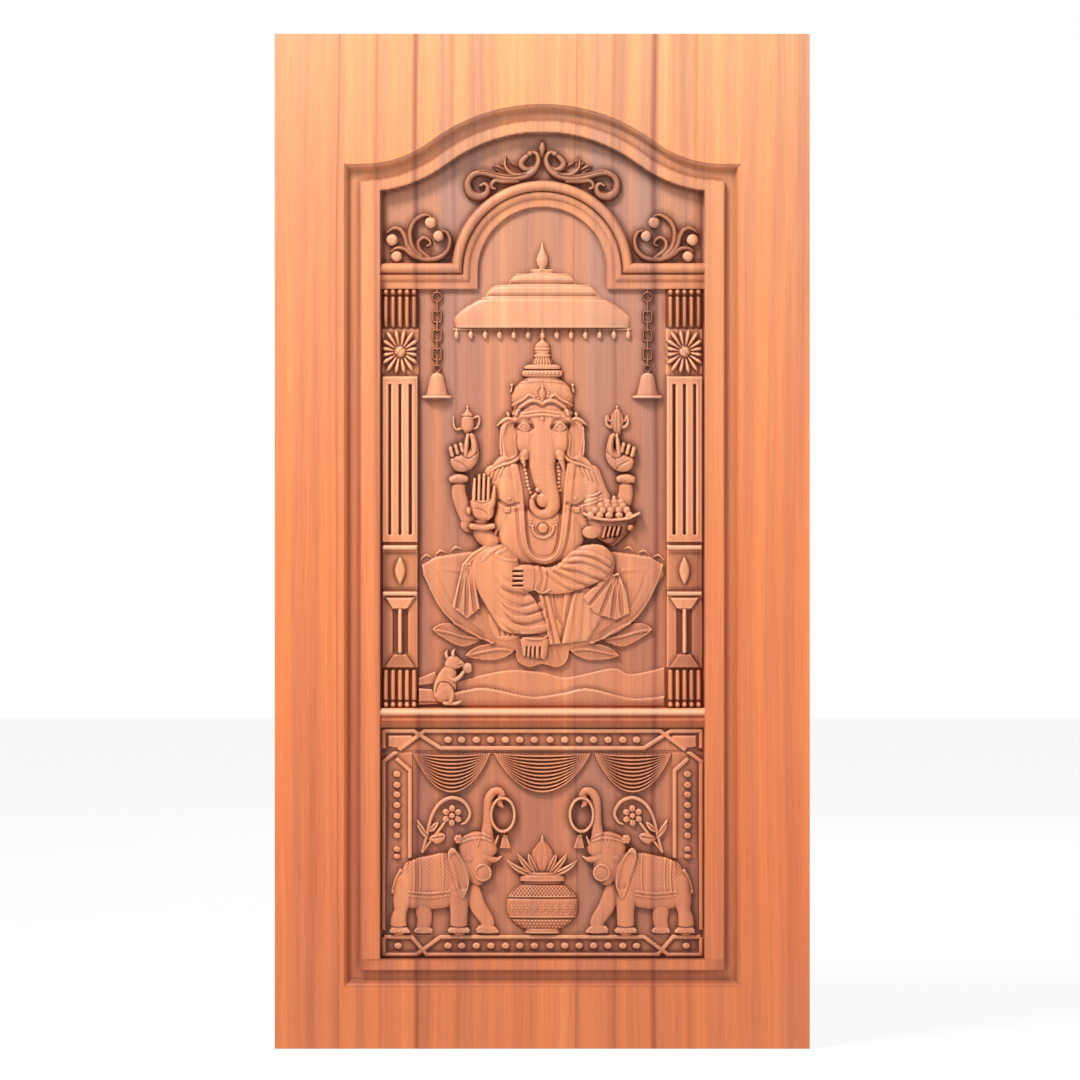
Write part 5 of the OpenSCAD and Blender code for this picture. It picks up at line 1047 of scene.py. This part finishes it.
# Flower spray above the elephant
blossom = {"cell": 1.0, "foot": plinthZ, "cut": 0.6, "addedShade": 0.0, "petals": 6}
spray = canvas(-262, 208, -136, 332, blossom["cell"])
stroke(spray, [(-240, 214, 4.2, 5.4), (-232, 244, 4.4, 6), (-222, 284, 4.6, 6.4), (-206, 310, 4.8, 6.8),
    (-182, 322, 4.8, 7), (-158, 314, 4.8, 7), (-145, 292, 4.4, 6.8), (-152, 274, 4, 6.4),
    (-162, 269, 2.6, 5.6)], 0.35)
stroke(spray, [(-238, 216, 3.6, 5), (-220, 240, 4, 5.6), (-206, 258, 4.2, 6), (-196, 272, 3.6, 6)], 0.35)
shape(spray, [(-228, 254), (-222, 268), (-208, 274), (-210, 262), (-218, 254)], 6.4, 4, 0.5, 3)
groove(spray, [(-225, 257), (-217, 264), (-210, 272)], 1.4, 1.2)
for k in range(blossom["petals"]):
    t = 1.047 * k + 0.5
    dome(spray, -181 + 13.8 * math.cos(t), 286 + 13.8 * math.sin(t), 8.2, 7.2, 3, 7.4, math.degrees(t))
    groove(spray, [(-181 + 8 * math.cos(t), 286 + 8 * math.sin(t)),
        (-181 + 17 * math.cos(t), 286 + 17 * math.sin(t))], 1.2, 0.8, 1)
dome(spray, -181, 286, 6.4, 6.4, 4, 8.8)
for k in range(5):
    boss(spray, -181 + 3.4 * math.cos(k * 1.257), 286 + 3.4 * math.sin(k * 1.257), 1.3, 1.3, 0.7)
shape(spray, [(-229, 240), (-217, 250), (-203, 253), (-193, 246), (-198, 234), (-210, 228),
    (-221, 232)], 6.8, 7, 0.4, 3)
groove(spray, [(-226, 240), (-210, 242), (-198, 244)], 1.6, 1.4)
shape(spray, [(-230, 238), (-243, 248), (-251, 264), (-251, 279), (-240, 268), (-232, 254)], 6.6, 5, 0.5, 3)
groove(spray, [(-231, 246), (-243, 260), (-252, 273)], 1.4, 1.2)
pair("spray", spray, blossom)

# Water pot with mango leaves and a coconut
pot = {"cell": 1.1, "foot": plinthZ, "cut": 0.6, "addedShade": 0.05, "net": 7}
jar = canvas(-78, 47, 78, 252, pot["cell"])
for s in (-1, 1):
    for leaf in ([(18, 166), (38, 174), (56, 184), (71, 197)], [(16, 168), (29, 182), (40, 195), (50, 210)],
            [(10, 170), (18, 186), (24, 198), (28, 210)]):
        stroke(jar, [(s * x, y, r, high) for (x, y), r, high in zip(leaf, (5, 7.4, 6, 1.2), (8, 9.4, 8.6, 5))], 0.45)
        groove(jar, [(s * x, y) for x, y in leaf], 1.6, 2)
turned(jar, 0, [(172, 12), (182, 19), (194, 24), (206, 25), (217, 22), (226, 15), (235, 7), (248, 1.4)], 4.8, 0.17)
for k in (-1, 0, 1):
    groove(jar, [(9 * k, 178), (13 * k, 208), (3 * k, 238)], 1.4, 0.6)
turned(jar, 0, [(50, 36), (51, 37), (58, 37), (60, 35)], 7.2, 0.12)
turned(jar, 0, [(60, 44), (70, 58), (82, 68), (94, 73), (106, 74), (118, 73), (130, 67), (142, 54), (150, 42),
    (154, 39)], 5.8, 0.084)
turned(jar, 0, [(154, 44), (156, 47), (164, 47), (166, 44)], 7.2, 0.12)
turned(jar, 0, [(166, 40), (172, 36)], 7, 0.1)
for y, r in ((80, 67), (121, 72), (148, 45)):
    groove(jar, [(-r, y), (r, y)], 2, 1.6, 1)
    welt(jar, [(-r, y + 3.4), (r, y + 3.4)], 1.5, 0.8, 1)
for i in range(-9, 10):
    for j in range(3):
        x = 7 * (i + 0.5 * (j % 2))
        if abs(x) < 42 + 8 * j:
            boss(jar, x, 63.5 + 6 * j, 2.3, 2.3, 1.3)
for i in range(-4, 5):
    x = 15 * i
    boss(jar, x, 101, 3, 3, 1.3)
    for k in range(6):
        t = k * 1.047
        boss(jar, x + 5 * math.cos(t), 101 + 5.4 * math.sin(t), 2.1, 2.4, 1.1)
    boss(jar, x + 7.5, 112, 1.8, 1.8, 1)
    boss(jar, x + 7.5, 90, 1.8, 1.8, 1)
for i in range(-9, 10):
    for lean in (pot["net"], -pot["net"]):
        groove(jar, [(pot["net"] * i - lean, 126), (pot["net"] * i + lean, 144)], 1.2, 0.9, 1)
swell(jar, 0, 106, 78, 54, 2.8)
carve("dressed_water_pot", ["water_pot"], jar, pot)
print("plinth ready")

# Height of the whole front over the ground, from the CAD solids that stay and the carvings on them
survey = {"box": (-540, -5, 540, 2035), "cell": 2.5, "wide": (14, 70), "near": (2.5, 12), "close": 12}  # mm
carved = {n for c in carvings for n in c["nodes"]}
front = canvas(*survey["box"], survey["cell"])
points = []
faces = []
for name, node in frame["nodes"].items():
    if name not in carved:
        start = len(points)
        points += [v.co.copy() for v in node.data.vertices]
        faces += [[start + i for i in p.vertices] for p in node.data.polygons]
solids = BVHTree.FromPolygons(points, faces)
inward = Vector((0, 1, 0))
for j, z in enumerate(front["v"]):
    for i, x in enumerate(front["u"]):
        hit = solids.ray_cast(Vector((x / 1000, -0.1, z / 1000)), inward)[0]
        front["h"][j, i] = groundY - 1000 * hit.y if hit else 0
for c in carvings:
    reach = sorted((c["side"] * c["u"][0], c["side"] * c["u"][-1]))
    spot, x, z = window(front, reach[0], c["v"][0], reach[1], c["v"][-1])
    x, z = np.broadcast_arrays(x, z)
    x = c["side"] * x
    inside = (x >= c["u"][0]) & (x <= c["u"][-1]) & (z >= c["v"][0]) & (z <= c["v"][-1])
    front["h"][spot] = np.maximum(front["h"][spot], np.where(inside, sample(c, c["h"], x, z), 0))
# openness of the whole front, from which the painted shade in its hollows is read
wide = openness(front["h"], front["cell"], *survey["wide"])
near = blur(openness(front["h"], front["cell"], *survey["near"]), 1)
print("front measured")

weld = 1e-7  # metres


# Flat net over the open rim of a mesh, with more points inside it if given
def net(bm, inner=()):
    rim = [v for v in bm.verts if v.is_boundary]
    number = {v: i for i, v in enumerate(rim)}
    edges = [(number[e.verts[0]], number[e.verts[1]]) for e in bm.edges if e.is_boundary]
    return rim, delaunay_2d_cdt([Vector((v.co.x, v.co.z)) for v in rim] + list(inner), edges, [], 1, weld)


# Each carving becomes a closed mesh, with a close look at its own cuts and edges for the painted shade and highlight
ridgeLight = {"span": 3.0, "rise": 2.2, "most": 0.6, "shadeDimming": 2}  # mm over which an edge counts as raised, then the strength of its painted highlight and how much added shade dims it
for c in carvings:
    h, solid, side = c["h"], c["solid"], c["side"]
    nv, nu = h.shape
    x, z = np.broadcast_arrays(side * c["u"][None, :], c["v"][:, None])
    close = openness(h, c["cell"], c["cell"], survey["close"])
    if c["name"] == "lotus_seat":  # the figure stands close over it
        close = np.minimum(close, sample(front, near, x, z))
    steps = max(2, int(round(ridgeLight["span"] / c["cell"])))
    # painted highlight on raised edges, painted shade where a cell sees less sky past the carving and the front, plus
    # the added shade
    ridge = np.clip((h - blur(h, steps * steps)) / ridgeLight["rise"], 0, 1)
    highlight = ridge * (ridgeLight["most"] - ridgeLight["shadeDimming"] * c["addedShade"])
    paintedTone = highlight - (1 - close * sample(front, wide, x, z)) - c["addedShade"]
    bm = bmesh.new()
    bmesh.ops.create_grid(bm, x_segments=nu - 1, y_segments=nv - 1, size=1)
    mesh = meshed(c["name"], bm)
    mesh.vertices.foreach_set("co", np.stack([x / 1000, (groundY - h) / 1000, z / 1000], axis=2).ravel())
    shade_and_highlight = mesh.attributes.new("shade_and_highlight", "FLOAT", "POINT")
    shade_and_highlight.data.foreach_set("value", np.clip(paintedTone, -1, 1).ravel())
    bm = bmesh.new()
    bm.from_mesh(mesh)
    bm.faces.ensure_lookup_table()
    held = solid[:-1, :-1] | solid[1:, :-1] | solid[:-1, 1:] | solid[1:, 1:]
    bmesh.ops.delete(bm, geom=[bm.faces[i] for i in np.flatnonzero(~held.ravel())], context="FACES")
    rim = [v for v in bm.verts if v.is_boundary]
    for _ in range(3):
        bmesh.ops.smooth_vert(bm, verts=rim, factor=0.5, use_axis_x=True, use_axis_z=True)
    for f in bm.faces:
        f.smooth = True
    rim, flat = net(bm)
    for face in flat[2]:
        corners = [rim[flat[3][i][0]] for i in face if flat[3][i]]
        if len(set(corners)) != len(face) or bm.faces.get(corners):
            continue
        i = int((side * 1000 * sum(v.co.x for v in corners) / len(face) - c["u"][0]) / c["cell"])
        j = int((1000 * sum(v.co.z for v in corners) / len(face) - c["v"][0]) / c["cell"])
        if held[min(j, nv - 2), min(i, nu - 2)]:  # not across an opening
            bm.faces.new(corners)
    bmesh.ops.recalc_face_normals(bm, faces=bm.faces[:])
    bm.to_mesh(mesh)
    bm.free()
    link(c["name"], mesh, c["nodes"], "carved_teak")


# Painted shade attribute for a mesh, read off the openness of the front at each of its points, with a painted highlight
# and shade up its height if given; soft and thin are the shares of the two looks
def paintShade(mesh, soft, thin, paintedLight=None):
    at = np.empty(3 * len(mesh.vertices))
    mesh.vertices.foreach_get("co", at)
    at = at.reshape(-1, 3) * 1000
    paintedTone = sample(front, (1 - soft * (1 - near)) * (1 - thin * (1 - wide)), at[:, 0], at[:, 2]) - 1
    if paintedLight:
        paintedTone += np.interp((at[:, 2] - at[:, 2].min()) / np.ptp(at[:, 2]), paintedLight[0], paintedLight[1])
    shade_and_highlight = mesh.attributes.new("shade_and_highlight", "FLOAT", "POINT")
    shade_and_highlight.data.foreach_set("value", np.clip(paintedTone, -1, 1))


# Ground: the CAD panel with its face divided finely enough to hold the painted shade round the carvings
ground = {"step": 0.0052, "join": 1e-6, "soft": 0.8, "thin": 0.5}  # metres
bm = bmesh.new()
bm.from_mesh(frame["nodes"]["ground_panel"].data)
bmesh.ops.remove_doubles(bm, verts=bm.verts[:], dist=ground["join"])
face = [f for f in bm.faces if f.normal.y < -0.99 and f.calc_center_median().y * 1000 < groundY + 0.3]
bmesh.ops.delete(bm, geom=face, context="FACES")
rim = [v for v in bm.verts if v.is_boundary]
low = [min(v.co[k] for v in rim) for k in (0, 2)]
count = [int((max(v.co[k] for v in rim) - edge) / ground["step"]) for k, edge in zip((0, 2), low)]
inner = [Vector((low[0] + ground["step"] * (i + 0.5), low[1] + ground["step"] * (j + 0.5)))
         for i in range(count[0]) for j in range(count[1])]
rim, flat = net(bm, inner)
made = [bm.verts.new((p.x, groundY / 1000, p.y)) for p in flat[0]]
for corners in flat[2]:
    bm.faces.new([made[i] for i in corners])
bmesh.ops.remove_doubles(bm, verts=bm.verts[:], dist=ground["join"])
bmesh.ops.recalc_face_normals(bm, faces=bm.faces[:])
mesh = meshed("dressed_ground", bm)
paintShade(mesh, ground["soft"], ground["thin"])
link("dressed_ground", mesh, ["ground_panel"], "panel_teak")

# Mouldings: the CAD solids, divided across their section to hold the painted shade in their hollows
# metres, then an angle in radians and shares of the painted shade
moulding = {"across": 0.004, "along": 0.05, "narrow": 0.1, "arc": 0.006, "sharp": 0.5, "soft": 0.9, "thin": 0.7}
ledge = [(0, 0.1, 0.3, 0.52, 0.62, 0.8, 0.95), (-0.14, -0.1, -0.06, -0.05, 0.2, 0.5, 0.3)]  # painted shade low down and painted highlight on the top roll, up the cornice
straight = ["left_channel", "right_channel", "bottom_channel", "left_band", "right_band", "bottom_band",
            "base_cornice"]
for name in straight + ["arch_channel", "arch_band", "niche_arch"]:
    bm = bmesh.new()
    bm.from_mesh(frame["nodes"][name].data)
    bmesh.ops.remove_doubles(bm, verts=bm.verts[:], dist=ground["join"])
    if name in straight:
        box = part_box(name)
        for axis in (0, 2):
            size = box[1][axis] - box[0][axis]
            cuts = int(size / (moulding["across"] if size < moulding["narrow"] else moulding["along"]))
            for k in range(1, cuts):
                at = Vector((0, 0, 0))
                at[axis] = box[0][axis] + size * k / cuts
                way = Vector((axis == 0, 0, axis == 2))
                bmesh.ops.bisect_plane(bm, geom=bm.verts[:] + bm.edges[:] + bm.faces[:], plane_co=at, plane_no=way)
    else:
        for _ in range(9):
            long = [e for e in bm.edges if e.calc_length() > moulding["arc"] and max(v.co.y for v in e.verts) < 0.0]
            if not long:
                break
            bmesh.ops.subdivide_edges(bm, edges=long, cuts=1)
            bmesh.ops.triangulate(bm, faces=[f for f in bm.faces if len(f.verts) > 3])
    for f in bm.faces:
        f.smooth = True
    for e in bm.edges:
        e.smooth = not e.is_manifold or e.calc_face_angle() < moulding["sharp"]
    mesh = meshed("dressed_" + name, bm)
    paintShade(mesh, moulding["soft"], moulding["thin"], ledge if name == "base_cornice" else None)
    link("dressed_" + name, mesh, [name], "moulding_teak")
print("mouldings ready")

# Studio: pale floor, white surround, broad soft light from above and in front
studio = {"floor": 15, "paper": "#fafafa", "seenFloor": 0.9, "fill": 0.30, "aim": (0, 0, 1.0)}
lamps = {  # metres and watts
    "key": {"place": (-2.6, -3.0, 6.6), "size": (1.5, 1.5), "power": 530},
    "behind": {"place": (1.5, 6.0, 3.2), "size": (3.0, 2.5), "power": 110},
    "front": {"place": (1.6, -7.0, 2.4), "size": (3.0, 2.5), "power": 40},
}
view = {"lens": 135, "sensor": 36, "place": (-0.0046, -8.125, 1.0176)}
scene = bpy.context.scene
scene.view_settings.view_transform = "Standard"
bm = bmesh.new()
bmesh.ops.create_grid(bm, x_segments=1, y_segments=1, size=studio["floor"])
floorMesh = meshed("floor", bm)
floor = bpy.data.objects.new("floor", floorMesh)
bpy.context.collection.objects.link(floor)
paper = bpy.data.materials.new("white paper floor")  # dead white where it is looked at, and it keeps the shadow
paper.use_nodes = True
tree = paper.node_tree
matte = tree.nodes["Principled BSDF"]
matte.inputs["Base Color"].default_value = srgb(studio["paper"])
matte.inputs["Roughness"].default_value = 0.9
rays = add(tree, "ShaderNodeLightPath")
looked = add(tree, "ShaderNodeMath", {0: rays["Is Camera Ray"], 1: rays["Is Glossy Ray"]}, operation="MAXIMUM")[0]
part = add(tree, "ShaderNodeMath", {0: looked, 1: studio["seenFloor"]}, operation="MULTIPLY")[0]
white = add(tree, "ShaderNodeEmission", {"Color": (1, 1, 1, 1), "Strength": 1.0})[0]
both = add(tree, "ShaderNodeMixShader", {0: part, 1: matte.outputs[0], 2: white})[0]
tree.links.new(both, tree.nodes["Material Output"].inputs["Surface"])
floorMesh.materials.append(paper)

world = bpy.data.worlds.new("studio")
scene.world = world
world.use_nodes = True
tree = world.node_tree
back = tree.nodes["Background"]
rays = add(tree, "ShaderNodeLightPath")
looked = add(tree, "ShaderNodeMath", {0: rays["Is Camera Ray"], 1: rays["Is Glossy Ray"]}, operation="MAXIMUM")[0]
seen = add(tree, "ShaderNodeMath", {0: looked, 1: rays["Is Transmission Ray"]}, operation="MAXIMUM")[0]
level = add(tree, "ShaderNodeMapRange", {"Value": seen, "To Min": studio["fill"], "To Max": 1.0})[0]
back.inputs["Color"].default_value = (1, 1, 1, 1)
tree.links.new(level, back.inputs["Strength"])

for name, lamp in lamps.items():
    light = bpy.data.lights.new(name, "AREA")
    light.shape = "RECTANGLE"
    light.size, light.size_y = lamp["size"]
    light.energy = lamp["power"]
    holder = bpy.data.objects.new(name, light)
    bpy.context.collection.objects.link(holder)
    holder.location = lamp["place"]
    aim = [t - p for t, p in zip(studio["aim"], lamp["place"])]
    holder.rotation_euler = (math.atan2(math.hypot(aim[0], aim[1]), -aim[2]), 0, math.atan2(-aim[0], aim[1]))

camera = bpy.data.cameras.new("camera")
camera.lens = view["lens"]
camera.sensor_width = view["sensor"]
viewer = bpy.data.objects.new("camera", camera)
bpy.context.collection.objects.link(viewer)
viewer.location = view["place"]
viewer.rotation_euler = (math.pi / 2, 0, 0)
scene.camera = viewer

print("scene ready")
